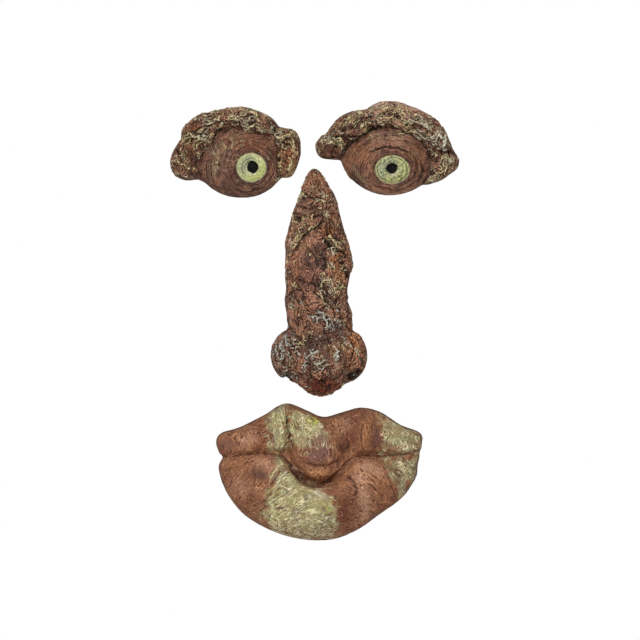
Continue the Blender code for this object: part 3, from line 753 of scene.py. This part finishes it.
# Near-black marks are painted shade in grooves and nostrils, and painted shadow under the torn
# edges.
NOSE_MARKS = [
    ([(-10, 36.6), (-6, 39.0), (-3, 39.6), (-0.3, 42.2), (2.2, 44.8), (4.4, 45.4)],
     1.3, -1.7, DARK_WASH_AND_SHADE, 0.95),
    ([(3, 32), (6.7, 28.9), (9.6, 25.9), (13.3, 23.7), (17.8, 22.4), (20.5, 18)],
     1.3, -1.8, DARK_WASH_AND_SHADE, 0.95),
    ([(-20, 22), (-17, 25.5), (-15, 29.6), (-11.8, 33.4), (-9.6, 36.4)], 1.1, -1.1, DULL_RED, 0.8),
    ([(18.6, 17), (19.6, 13), (20.9, 9), (21.7, 5.5), (22.6, 3)], 1.5, -3.2, DARK_WASH_AND_SHADE, 1.0),
    ([(23.5, 16), (24.5, 9), (25.5, 4)], 1.2, 1.0, ORANGE_CLAY * 0.8, 0.5),
    ([(3.7, 20), (5.4, 15), (5.0, 11), (3.4, 8)], 1.4, -1.3, DARK_WASH_AND_SHADE, 0.85),
    ([(8.0, 14), (12, 8), (10, 2)], 0.9, -1.0, DULL_RED, 0.7),
    ([(13.3, 0), (17.8, -3.7), (16.5, -8), (14.8, -12.6)], 1.0, -1.4, SHADOW, 0.8),
    ([(12, -13), (15, -19), (17, -24.4), (20.7, -31.8), (25, -37.7)], 1.1, -1.5, SHADOW, 0.8),
    ([(16.5, -19), (20.5, -28), (25.5, -35)], 1.2, 0.9, ORANGE_CLAY * 1.1, 0.6),
    ([(10, -14), (12, -24), (16, -34)], 0.9, -1.0, DULL_RED, 0.7),
    ([(-21, 58), (-10, 55), (2, 57), (12, 60)], 0.9, -0.9, DARK_RED, 0.6),
    ([(-14, 67), (-8, 63), (3, 63), (9, 67)], 0.9, -1.0, DARK_RED, 0.7),
    ([(-12.6, 67), (-10.4, 64.4), (-11.8, 59.2)], 1.0, -1.2, DARK_WASH_AND_SHADE, 0.9),
    ([(-18, 51), (-6, 48), (8, 51), (16, 50)], 0.9, -0.9, DARK_RED, 0.6),
    ([(-17, 49), (-14.4, 46.8), (-15.5, 44)], 1.7, -1.8, DARK_WASH_AND_SHADE, 0.95),
    ([(-22, 12), (-20, -4), (-21, -20)], 1.0, -0.9, DULL_RED, 0.6),
    ([(-24, -28), (-21.5, -34.8), (-14, -40), (-14, -50)], 1.1, -1.0, DARK_RED, 0.7),
    ([(-20, 4), (-8, 0), (4, -4), (10, -2)], 1.0, -0.9, DULL_RED, 0.6),
    ([(-20, -12), (-8, -16), (2, -14)], 1.0, -0.9, DULL_RED, 0.6),
    ([(-33, -64), (-25, -67.6), (-19, -69.4)], 1.3, -1.3, SHADOW, 0.9),
    ([(-31, -61), (-24, -64.5), (-18, -66)], 1.6, 0.5, TERRACOTTA * 1.3, 0.6),
    ([(20, -71), (25, -67.6), (31, -65)], 1.7, -1.6, DARK_WASH_AND_SHADE, 0.95),
    ([(30, -54), (32.4, -58), (31, -62)], 1.0, -1.0, SHADOW, 0.8),
    ([(18, -62), (24, -63), (30, -59)], 1.3, 0.6, ORANGE_CLAY, 0.6),
    ([(-12, -66), (-4, -70), (2, -75), (10, -79)], 1.1, -0.9, DARK_RED, 0.7),
]
NOSE_LINES = [
    [(5.2, 33), (8.9, 31), (11.8, 28), (14, 26), (18.5, 25.4)],
    [(6, 35), (10, 32.6), (13, 30), (17, 28)],
    [(-20.5, 25), (-17.5, 28.4), (-14, 33), (-11, 37)],
    [(-9.6, 38.4), (-6, 41), (-3, 41.6), (0, 44.4)],
    [(-11, 69), (-14.5, 63), (-17, 57)],
    [(-20, 53), (-19, 47), (-17.6, 42)],
    [(1.5, -4), (4.4, 2.2), (8.9, 2.2), (11.8, -3.7), (16.3, -5.2)],
    [(0, 3), (2.6, 7), (6, 6)],
    [(-3, -6.7), (1.5, -11), (5.9, -15.5), (8.9, -18.5)],
    [(-4.4, -20), (3, -21.5), (4.4, -27.4), (10.4, -34.8)],
    [(1.5, -25), (8.9, -27.4), (13.3, -33.3)],
    [(-7, -24), (-2, -25), (0, -31)],
    [(-31.8, -42), (-32, -51), (-29, -58)],
    [(-26, -38.5), (-28.6, -46), (-25, -54)],
    [(-22, -38), (-24.5, -44), (-21, -50)],
    [(-8.9, -48), (-3, -51.5), (1.5, -48.6)],
    [(-6, -57.5), (1.5, -59.4), (7.4, -56)],
    [(-3, -61.5), (3, -62.6), (8, -60)],
    [(10, -44), (13, -52), (11, -60)],
    [(-6, 58), (0, 60.6), (6, 59)],
    [(16, -13), (13.5, -18), (17, -22)],
]
NOSE_TINTS = [
    ((-5, 17), (13, 14), PURPLE_BROWN * 1.2, 0.85),
    ((-2, 0), (12, 10), PURPLE_BROWN * 1.5, 0.6),
    ((-3, 50), (14, 9), PURPLE_BROWN * 1.3, 0.6),
    ((-24, -52), (14, 16), RED_BROWN * 1.1, 0.8),
    ((-2, -42), (17, 13), PURPLE_BROWN * 1.1, 0.85),
    ((-2, -60), (12, 7), PURPLE_BROWN * 1.2, 0.75),
    ((2, -76), (18, 9), RED_BROWN * (1.6, 1.2, 1.0), 0.95),
    ((7, 37), (8, 8), ORANGE_CLAY, 0.85),
    ((10, 46), (8, 5), ORANGE_CLAY, 0.5),
    ((15, 13), (10, 19), ORANGE_CLAY * 1.4, 0.85),
    ((26, -47), (13, 20), ORANGE_CLAY * 1.3, 0.9),
    ((12, -52), (9, 12), ORANGE_CLAY * 0.8, 0.6),
    ((-12, -22), (12, 10), TERRACOTTA * 1.3, 0.7),
    ((-10, -62), (9, 7), TERRACOTTA * 1.2, 0.6),
    ((-19, 8), (5, 22), TERRACOTTA * 1.3, 0.7),
    ((0, 68), (15, 18), ORANGE_CLAY * (1.05, 1.1, 1.3), 0.65),
    ((-2.2, 72.5), (3.6, 5.5), PURPLE_BROWN * 1.6, 0.8),
]
NOSE_BRUSHED = [
    ((3.5, -1), (5, 9), 1.0),
    ((10, -4), (7, 14), 0.6),
    ((4, -27), (11, 9), 0.8),
    ((-25, -50), (11, 14), 0.4),
    ((0, -57), (10, 9), 0.45),
    ((2, -76), (20, 10), -0.4),
    ((-5, 17), (13, 16), -0.2),
    ((10, -56), (9, 14), 0.35),
    ((-8, 46), (11, 7), 0.4),
    ((14, 28), (9, 7), 0.9),
    ((-18, 30), (5, 8), 0.4),
    ((-13, 64), (6, 7), 0.6),
    ((-14, -24), (10, 8), 0.3),
    ((-10, 2), (10, 20), -0.45),
    ((6, 38), (7, 7), -0.5),
    ((28, -44), (8, 14), -0.2),
]


def make_nose():
    s = Surface("nose")
    x, _, z = s.rest.T
    relief, lit, shade, found = grained(s, 20, 8.5, 2.0, s.rest * (1.0, 1.0, 0.8))
    folds = creases(s, s.rest * (1.0, 1.0, 0.7), 44, 13.0, 0.9)
    ragged = 0.9 * rough(s.rest, 3.4, 2, 23)
    inner = area(x, z, [*TORN_LEFT, *TORN_RIGHT, (19, 2), (6, -18), (-12, -16), (-22, 2)]) + ragged
    peeled = smooth(-0.35, 0.35, inner) * smooth(-16, 14, z)
    right = smooth(0, 5, x)
    lip = ridge(inner + 1.5, 1.1) * smooth(14, 22, z) * (0.35 + 0.65 * right)
    lip *= 0.4 + 0.6 * patchy(s, -0.3, 0.2, 4.0, 24)
    scar = np.hypot((x + 2.2) / 4.2, (z - 72.5) / 6.2)
    flap = blob(x, z, (24.0, 12.0), (4.0, 13.0))
    beside_wings = (
        [(-21, -34), (-19.5, -48), (-17, -58), (-14, -68)],
        [(22.5, -34), (18.5, -46), (18, -56), (21, -62)],
    )
    between = np.max([stroke(x, z, line, 6.0) for line in beside_wings], axis=0)
    calm = 1 - 0.55 * peeled * smooth(8, 0, x)
    folds *= calm
    lift = 1.2 * lip - 1.3 * peeled + 1.4 * relief * calm + 0.8 * flap
    lift += 1.3 * rough(s.rest, 11.0, 3, 25, 0.5) * (0.6 + 0.4 * calm) + 3.3 * between
    lift -= 1.0 * ridge(scar - 1, 0.18) + 1.2 * folds
    pit = blob(x, z, (3.4, -73.0), (3.4, 2.2), 20)
    lift -= 2.4 * pit
    paint = ground_paint(s, 20, DUSTY_CLAY * 1.65, DUSTY_BROWN * 1.2)
    paint = tinted(s, paint, NOSE_TINTS, patchy(s, -0.9, 0.1, 6.0, 29, 3))
    # Painted shade along the bottoms of the folds.
    paint = darken(paint, 0.15, 0.75 * folds)
    painted(s, lift, paint, NOSE_MARKS)
    pale = np.where(z[:, None] > -18, CREAM, GREY_CREAM * 1.15)
    thin = painted_lines(s, NOSE_LINES, LINE_WIDTH)
    halo = painted_lines(s, NOSE_LINES, HALO_WIDTH)
    lift += 0.7 * thin
    s.raise_by(lift - 0.7)
    brushed = 0.16 + 0.35 * patchy(s, -0.2, 0.4, 8.0, 31, 3)
    brushed = brushed_more(s, brushed, NOSE_BRUSHED)
    brushed = np.clip(brushed * (1 - 0.45 * peeled * (z > 12)) + 0.2 * lip, 0, 1)
    tone = patchy(s, -0.5, 0.3, 16.0, 33) * (0.5 + 0.5 * smooth(-10, -30, z))
    brush_paint = mix(CREAM, GREY_CREAM, tone)
    paint = finish_paint(s, paint, lit, shade * calm, found, brushed, brush_paint)
    paint = draw_lines(paint, thin, halo, pale * 1.15)
    # Painted shade in the nostril's pit.
    return s, tint(paint, DARK_WASH_AND_SHADE * 0.8, 0.9 * pit)


MOUTH_LINE = [
    (-76, 12), (-64.4, 12), (-54, 13.5), (-45, 14.4), (-33.3, 13.5), (-26.3, 11.8), (-21.5, 7.0),
    (-18.5, 1.6), (-14, -4.3), (-7, -8.4), (0.7, -9.2), (6.7, -6.4), (12.6, -0.6), (18.5, 6.8),
    (25.9, 12.3), (34.8, 12.7), (46.6, 12), (58.5, 13.5), (76, 16.8),
]
MOSS_PATCHES = [
    [(-37, 47), (-29, 51), (-24, 49), (-23.5, 20), (-27, 15), (-35, 18), (-37, 32)],
    [(-22, 46), (-8, 43), (2, 35), (8, 26), (8, 20), (0, 17), (-10, 18), (-18, 23), (-21, 32)],
    [(45, 42), (60, 36), (76, 29), (76, 16), (58, 14), (46, 16), (51, 26)],
    [(50, 10), (73, 13), (71, -6), (60, -17), (55, -4)],
    [
        (-29, 12), (-20, 2), (-8, -10), (6, -12), (12, -22), (12, -48), (-14, -52), (-32, -46),
        (-42, -32), (-34, -8),
    ],
]
# Dark marks in the hollows are painted shade as well as dark paint; tan ones are painted
# highlights.
MOUTH_MARKS = [
    ([(-24, 45), (-22, 34), (-21.3, 26), (-20.5, 18)], 1.2, -1.3, DULL_RED, 0.85),
    ([(27, 45), (24.5, 33), (21, 22), (16, 14)], 4.5, -1.2, RED_BROWN * 1.2, 0.75),
    ([(35, 42), (35.2, 28), (32.5, 15)], 3.8, 1.3, ORANGE_CLAY * 0.85, 0.75),
    ([(44, 36), (43, 26), (43, 18)], 4.0, -0.6, PURPLE_BROWN * 2.0, 0.6),
    ([(19, -1), (25, -6), (27.6, -12), (26, -18)], 1.5, -1.4, RED_BROWN * 0.9, 0.85),
    ([(28, 3), (32.5, -12), (34.5, -26), (31, -36)], 5.0, 0.9, TAN_HIGHLIGHT, 0.8),
    ([(-66, -2), (-58, -10), (-48, -16)], 7.0, 0.0, TAN_HIGHLIGHT, 0.35),
    ([(10, 30), (18, 36), (26, 40)], 5.0, 0.0, TAN_HIGHLIGHT, 0.35),
    ([(26, 6), (38, 4), (50, -2)], 5.0, 0.2, TAN_HIGHLIGHT, 0.7),
    ([(-50, 7), (-40, 8), (-31, 4)], 5.0, 0.2, TAN_HIGHLIGHT, 0.6),
    ([(-50, -22), (-44, -28), (-36, -34)], 6.0, 0.0, TAN_HIGHLIGHT, 0.45),
    ([(20, -14), (19, -26), (18, -38)], 6.0, -0.5, RED_BROWN * 1.2, 0.85),
    ([(42, -2), (46, -12), (42, -24)], 5.0, 0.0, ORANGE_CLAY * 0.8, 0.5),
    ([(36, -36), (50, -25), (60, -14)], 4.0, 0.0, RED_BROWN * 1.2, 0.6),
    ([(-50, -1), (-44, 0), (-37, -4)], 4.0, -0.5, PURPLE_BROWN * 1.4, 0.8),
    ([(-62, 22), (-52, 25), (-44, 30)], 5.0, 0.4, TAN_HIGHLIGHT, 0.6),
    ([(-74, 22), (-66, 20), (-60, 17)], 4.0, 0.0, PURPLE_BROWN * 2.2, 0.5),
    ([(-11, 15), (0, 12), (10, 16)], 5.5, 0.0, PURPLE_BROWN * 2.6, 0.85),
    ([(-10, 2), (0, -1), (10, 3)], 3.4, 0.5, ORANGE_CLAY * (1.6, 1.8, 2.1), 0.9),
    ([(-13, 8), (-2, 5.2), (9, 6.5), (15, 10)], 1.2, -0.8, RED_BROWN, 0.7),
    ([(-56, -14), (-46, -26), (-36, -36)], 7.0, 0.0, TERRACOTTA * 0.9, 0.6),
    ([(-68, 4), (-60, 2), (-52, 6)], 5.0, 0.2, ORANGE_CLAY * 0.9, 0.5),
]
LIP_STREAKS = [
    ([(-36, -10), (-30, -1), (-25, 5)], 0.9, -0.8, RED_BROWN * 1.5, 0.7),
    ([(-33, -11), (-27, -2), (-22, 3)], 0.7, 0.5, PALE_CREAM * 0.8, 0.7),
    ([(-38, -7), (-33, 1), (-28, 7)], 0.7, 0.5, DIM_CREAM, 0.6),
    ([(-32, -15), (-26, -7)], 0.8, -0.7, RED_BROWN * 1.5, 0.6),
    ([(-34, -26), (-28, -25), (-24, -27)], 1.1, -0.9, RED_BROWN * 1.3, 0.7),
    ([(-26, -46), (-22, -45)], 1.0, -0.8, RED_BROWN * 1.3, 0.6),
    ([(58, 0), (62, -4)], 1.4, -0.9, RED_BROWN, 0.7),
    ([(52, -8), (56, -13)], 1.2, -0.8, RED_BROWN, 0.7),
]


def make_mouth():
    s = Surface("mouth")
    x, _, z = s.rest.T
    line = line_distance(x, z, MOUTH_LINE)
    relief, lit, shade, found = grained(s, 50, 7.0, 2.0, s.rest * (0.8, 1.0, 1.0))
    inside = np.max([area(x, z, patch) for patch in MOSS_PATCHES], axis=0)
    moss = smooth(-3.5, 3.0, inside + 4.2 * rough(s.rest * (0.7, 1.0, 1.0), 6.0, 3, 52, 0.7))
    upper = smooth(-2, 2, z - np.interp(x, *np.array(MOUTH_LINE).T))
    bend = swirled(s.rest * (1.0, 1.0, 0.4), 9.0, 3.0, 54)
    bowed = np.stack([x * 0.35, s.rest[:, 1], z + 0.011 * x * x], axis=1)
    level = mix(
        noise(swirled(bowed, 8.0, 2.2, 57), 2.4, 59)[:, None],
        noise(bend, 2.6, 56)[:, None],
        upper,
    )[:, 0]
    broken = patchy(s, -0.5, 0.2, 6.0, 61)
    strokes = broken * ridge(level, 0.2)
    shades = patchy(s, -0.3, 0.4, 7.0, 66) * ridge(level - 0.4, 0.2)
    deep = blob(x, z, (-8, -2), (34, 22))
    curled = blob(x, z, (-4, 36), (16, 9)) + blob(x, z, (64, 12), (16, 26)) + smooth(-26, -44, z)
    curly = moss * np.clip(curled, 0, 1)
    lift = 0.7 * relief * curly + (0.42 * strokes - 0.34 * shades) * (1 - 0.5 * curly)
    lift += 0.35 * rough(s.rest, 6.0, 3, 58)
    lift += 1.3 * ridge(line, 4.5) * (1 - deep)
    lift -= (1.1 + 0.5 * deep) * ridge(line, 0.9)
    paint = ground_paint(s, 50, ORANGE_CLAY * (0.92, 1.0, 1.15), TERRACOTTA * (1.0, 1.1, 1.25), 9.0)
    paint = tint(paint, RED_BROWN * 1.5, 0.5 * patchy(s, 0.0, 0.7, 12.0, 60, 3))
    painted(s, lift, paint, MOUTH_MARKS)
    paint = mix(paint, RED_BROWN * 1.1, 0.75 * shades)
    paint = mix(paint, paint * 1.3, 0.35 * strokes)
    green = mix(MOSS, GREY_MOSS, patchy(s, -0.1, 0.7, 8.0, 62, 3))
    green = tint(green, PURPLE_BROWN * 2.8, blob(x, z, (1, 21), (18, 12)) * 0.9)
    green = tint(green, GREY_MOSS * (0.85, 0.7, 0.6), 0.75 * blob(x, z, (64, 8), (22, 32)))
    green = tint(green, PALE_CREAM * 0.85, blob(x, z, (4, -14), (11, 6)) * 0.7)
    green = mix(green, PALE_CREAM * (0.9, 0.95, 0.75), 0.35 * strokes)
    scratched = shades * patchy(s, -0.3, 0.3, 5.0, 67)
    green = mix(green, RED_BROWN * 1.5, 0.8 * scratched)
    green = mix(green, RED_BROWN * 1.2, 0.8 * shade * curly)
    faded = 1 - 0.5 * smooth(-30, -50, z)
    cover = np.clip(moss * (0.62 + 0.55 * np.maximum(strokes, lit * curly)), 0, 1)
    paint = mix(paint, green, cover * faded)
    painted(s, lift, paint, LIP_STREAKS)
    s.raise_by(lift - 0.25)
    lime = blob(x, z, (-4.5, 38.5), (6.5, 4.5)) * patchy(s, -0.4, 0.2, 2.4, 64)
    lime += 0.5 * blob(x, z, (6, -24), (9, 9)) * patchy(s, 0.0, 0.4, 2.4, 65)
    paint = tint(paint, LIME, 0.85 * lime)
    brushed = 0.12 + 0.38 * moss + 0.3 * curly + 0.3 * blob(x, z, (-55, 28), (12, 10))
    brushed = brushed - 0.35 * blob(x, z, (64, 8), (24, 34)) - 0.3 * blob(x, z, (1, 21), (18, 12))
    brush_paint = mix(CREAM * (1.0, 1.05, 1.25), ORANGE_CLAY * (1.35, 1.6, 2.0), 1 - moss)
    lit = np.maximum(lit * curly, strokes)
    still = 0.7 - 0.3 * moss - 0.3 * ridge(line, 6.0)
    cracks = 0.3 - 0.12 * moss
    shade = 0.3 * shade * curly
    paint = finish_paint(s, paint, lit, shade, found, brushed, brush_paint, still, cracks)
    # The seam: a thin dark line, with painted shadow where it runs deepest, left of the middle.
    seam = ridge(line, 0.95) * (0.45 + 0.55 * blob(x, z, (-20, 4), (18, 18)))
    return s, mix(paint, RED_BROWN * 0.4 + DARK_WASH_AND_SHADE, 0.85 * seam)


# A Mix node's sockets for colours, which share their names with those for numbers.
MIX_SHARE, MIX_FIRST, MIX_SECOND, MIX_RESULT = 0, 6, 7, 2

# The material's grain and patches, in waves a metre, and the depth of its relief in metres.
GRAIN_SCALE = 1800.0
PATCH_SCALE = 260.0
BUMP_DEPTH = 0.00035


def node(tree, kind, inputs=(), **settings):
    """A shader node. Inputs maps its sockets to numbers, or to the outputs that feed them."""
    made = tree.nodes.new("ShaderNode" + kind)
    for name, value in settings.items():
        setattr(made, name, value)
    for name, value in dict(inputs).items():
        if isinstance(value, bpy.types.NodeSocket):
            tree.links.new(value, made.inputs[name])
        else:
            made.inputs[name].default_value = value
    return made


def maths(tree, operation, *values):
    return node(tree, "Math", enumerate(values), operation=operation).outputs[0]


def shader_noise(tree, place, scale, detail):
    inputs = {"Vector": place, "Scale": scale, "Detail": detail}
    return node(tree, "TexNoise", inputs)


def spread(tree, value, source, target=(0.0, 1.0)):
    """A value taken from one range to another."""
    ends = dict(zip(("From Min", "From Max", "To Min", "To Max"), (*source, *target)))
    return node(tree, "MapRange", {"Value": value, **ends}).outputs[0]


def fine_threads(tree, place, size, width, shift):
    """1 along thin curly lines of the given spacing, worked out in the shader."""
    moved = node(tree, "VectorMath", {0: place, 1: shift}, operation="ADD").outputs[0]
    bend = shader_noise(tree, moved, 0.45 / size, 1.0)
    bent = {0: bend.outputs["Color"], 1: (2.4 * size,) * 3, 2: moved}
    push = node(tree, "VectorMath", bent, operation="MULTIPLY_ADD")
    lines = shader_noise(tree, push.outputs[0], 1.0 / size, 1.0)
    away = maths(tree, "ABSOLUTE", maths(tree, "SUBTRACT", lines.outputs[0], 0.5))
    near = {"Value": away, "From Min": width, "From Max": width * 0.25}
    return node(tree, "MapRange", near, interpolation_type="SMOOTHSTEP").outputs[0]


def blend(tree, share, first, second):
    """The first colour where share is 0 and the second where it is 1."""
    inputs = {MIX_SHARE: share, MIX_FIRST: first, MIX_SECOND: second}
    return node(tree, "Mix", inputs, data_type="RGBA").outputs[MIX_RESULT]


def painted_resin(name, spacing, crack, relief):
    """Matt paint over cast resin: dark fine cracks, stronger where the paint is washed and shaded,
    dry brushing on fine threads, and grain.
    """
    material = bpy.data.materials.new(name)
    material.use_nodes = True
    tree = material.node_tree
    shader = tree.nodes["Principled BSDF"]
    place = node(tree, "TexCoord").outputs["Object"]
    paint, brush_paint, brush, wash = (
        node(tree, "Attribute", attribute_name=kept)
        for kept in ("Paint", "BrushPaint", "Brush", "WashAndShade")
    )
    grain = shader_noise(tree, place, GRAIN_SCALE, 4.0).outputs[0]
    patches = shader_noise(tree, place, PATCH_SCALE, 2.0).outputs[0]
    threads_on = fine_threads(tree, place, spacing, 0.05, (0.0, 0.0, 0.0))
    cracks_on = fine_threads(tree, place, spacing * 0.8, 0.045, (0.31, 0.17, 0.53))
    tone = spread(tree, grain, (0.3, 0.7), (0.6, 1.4))
    scaled = {0: paint.outputs["Color"], "Scale": tone}
    toned = node(tree, "VectorMath", scaled, operation="SCALE").outputs[0]
    here = spread(tree, patches, (0.42, 0.54))
    crack_share = maths(tree, "MULTIPLY", cracks_on, wash.outputs["Fac"])
    dark = blend(tree, crack_share, toned, (*crack, 1.0))
    brushed_on = maths(tree, "MULTIPLY", threads_on, brush.outputs["Fac"])
    thread_share = maths(tree, "MULTIPLY", brushed_on, here)
    base = blend(tree, thread_share, dark, brush_paint.outputs["Color"])
    tree.links.new(base, shader.inputs["Base Color"])
    gloss = spread(tree, patches, (0.3, 0.7), (0.6, 0.85))
    tree.links.new(gloss, shader.inputs["Roughness"])
    rise = maths(tree, "SUBTRACT", threads_on, cracks_on)
    height = maths(tree, "MULTIPLY_ADD", grain, 0.5, rise)
    raised = {"Strength": relief, "Distance": BUMP_DEPTH, "Height": height}
    bump = node(tree, "Bump", raised)
    tree.links.new(bump.outputs[0], shader.inputs["Normal"])
    shader.inputs["Specular IOR Level"].default_value = 0.2
    return material


def keep_colour(mesh, name, colours):
    kept = mesh.color_attributes.new(name, "FLOAT_COLOR", "POINT")
    rgba = np.concatenate([np.clip(colours, 0.0, 1.0), np.ones((len(colours), 1))], axis=1)
    kept.data.foreach_set("color", rgba.ravel())


def keep_number(mesh, name, values):
    kept = mesh.attributes.new(name, "FLOAT", "POINT")
    kept.data.foreach_set("value", np.clip(values, 0.0, 1.0))


def hand_over(s, paint, slot, material):
    """Writes the carved mesh and its paint, and puts it in its solid's place."""
    s.write()
    keep_colour(s.mesh, "Paint", tint(paint, BARE_RESIN, s.bare))
    keep_colour(s.mesh, "BrushPaint", s.brush_paint)
    keep_number(s.mesh, "Brush", s.brush * (1 - s.bare))
    keep_number(s.mesh, "WashAndShade", s.wash * (1 - s.bare))
    s.mesh.shade_smooth()
    s.mesh.materials.append(material)
    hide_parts(s.name)
    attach(s.piece, "root")


bark = painted_resin("bark_paint", spacing=0.0031, crack=(0.016, 0.008, 0.006), relief=1.0)
lips = painted_resin("lip_paint", spacing=0.0030, crack=(0.070, 0.035, 0.020), relief=0.7)
hand_over(*make_eye("left_eye", LEFT_EYE), "eye_bark", bark)
hand_over(*make_eye("right_eye", RIGHT_EYE), "eye_bark", bark)
hand_over(*make_nose(), "nose_bark", bark)
hand_over(*make_mouth(), "lip_paint", lips)


# The floor, the light and the camera

FLOOR_Z = -0.34
FLOOR_RADIUS = 0.9

# How bright the sky is as a light, and as the camera's background.
SKY_LIGHT = 0.38
SKY_SEEN = 1.0

# The point that the lights face.
LIT_POINT = (0.0, 0.0, -0.03)


def matt(name, colour):
    material = bpy.data.materials.new(name)
    material.use_nodes = True
    shader = material.node_tree.nodes["Principled BSDF"]
    shader.inputs["Base Color"].default_value = (*colour, 1.0)
    shader.inputs["Roughness"].default_value = 0.9
    return material


disc = bmesh.new()
bmesh.ops.create_circle(disc, cap_ends=True, segments=96, radius=FLOOR_RADIUS)
floor_mesh = bpy.data.meshes.new("floor")
disc.to_mesh(floor_mesh)
disc.free()
floor = bpy.data.objects.new("floor", floor_mesh)
floor.location = (0.0, 0.0, FLOOR_Z)
floor_mesh.materials.append(matt("pale_floor", (0.86, 0.86, 0.85)))
bpy.context.collection.objects.link(floor)

world = bpy.data.worlds.new("studio")
world.use_nodes = True
sky = world.node_tree.nodes["Background"]
sky.inputs["Color"].default_value = (1.0, 1.0, 1.0, 1.0)
seen = node(world.node_tree, "LightPath").outputs["Is Camera Ray"]
strength = spread(world.node_tree, seen, (0.0, 1.0), (SKY_LIGHT, SKY_SEEN))
world.node_tree.links.new(strength, sky.inputs["Strength"])
bpy.context.scene.world = world
bpy.context.scene.view_settings.view_transform = "Standard"


def faces(thing, target):
    """Turns a light or the camera towards a point."""
    aim = Vector(target) - thing.location
    thing.rotation_mode = "QUATERNION"
    thing.rotation_quaternion = aim.to_track_quat("-Z", "Y")


def soft_light(name, place, size, power):
    """A square light, with its size in metres and its power in watts."""
    data = bpy.data.lights.new(name, "AREA")
    data.size = size
    data.energy = power
    lamp = bpy.data.objects.new(name, data)
    lamp.location = place
    faces(lamp, LIT_POINT)
    bpy.context.collection.objects.link(lamp)


soft_light("key", place=(-0.7, -1.9, 1.0), size=0.6, power=26.0)
soft_light("fill", place=(1.0, -2.0, 0.1), size=1.2, power=5.0)

# The photo's frame at the plane of the backs, and the point in its middle.
PHOTO_PIXELS = 640
PIXEL = 0.74 * MM
AIM = (0.0007, 0.0, -0.0274)
CAMERA_DISTANCE = 3.2
SENSOR_WIDTH = 36.0

camera_data = bpy.data.cameras.new("camera")
camera_data.sensor_width = SENSOR_WIDTH
camera_data.lens = SENSOR_WIDTH * CAMERA_DISTANCE / (PHOTO_PIXELS * PIXEL)
camera_data.clip_end = 20.0
camera = bpy.data.objects.new("camera", camera_data)
camera.location = (AIM[0], -CAMERA_DISTANCE, AIM[2])
faces(camera, AIM)
bpy.context.collection.objects.link(camera)
bpy.context.scene.camera = camera
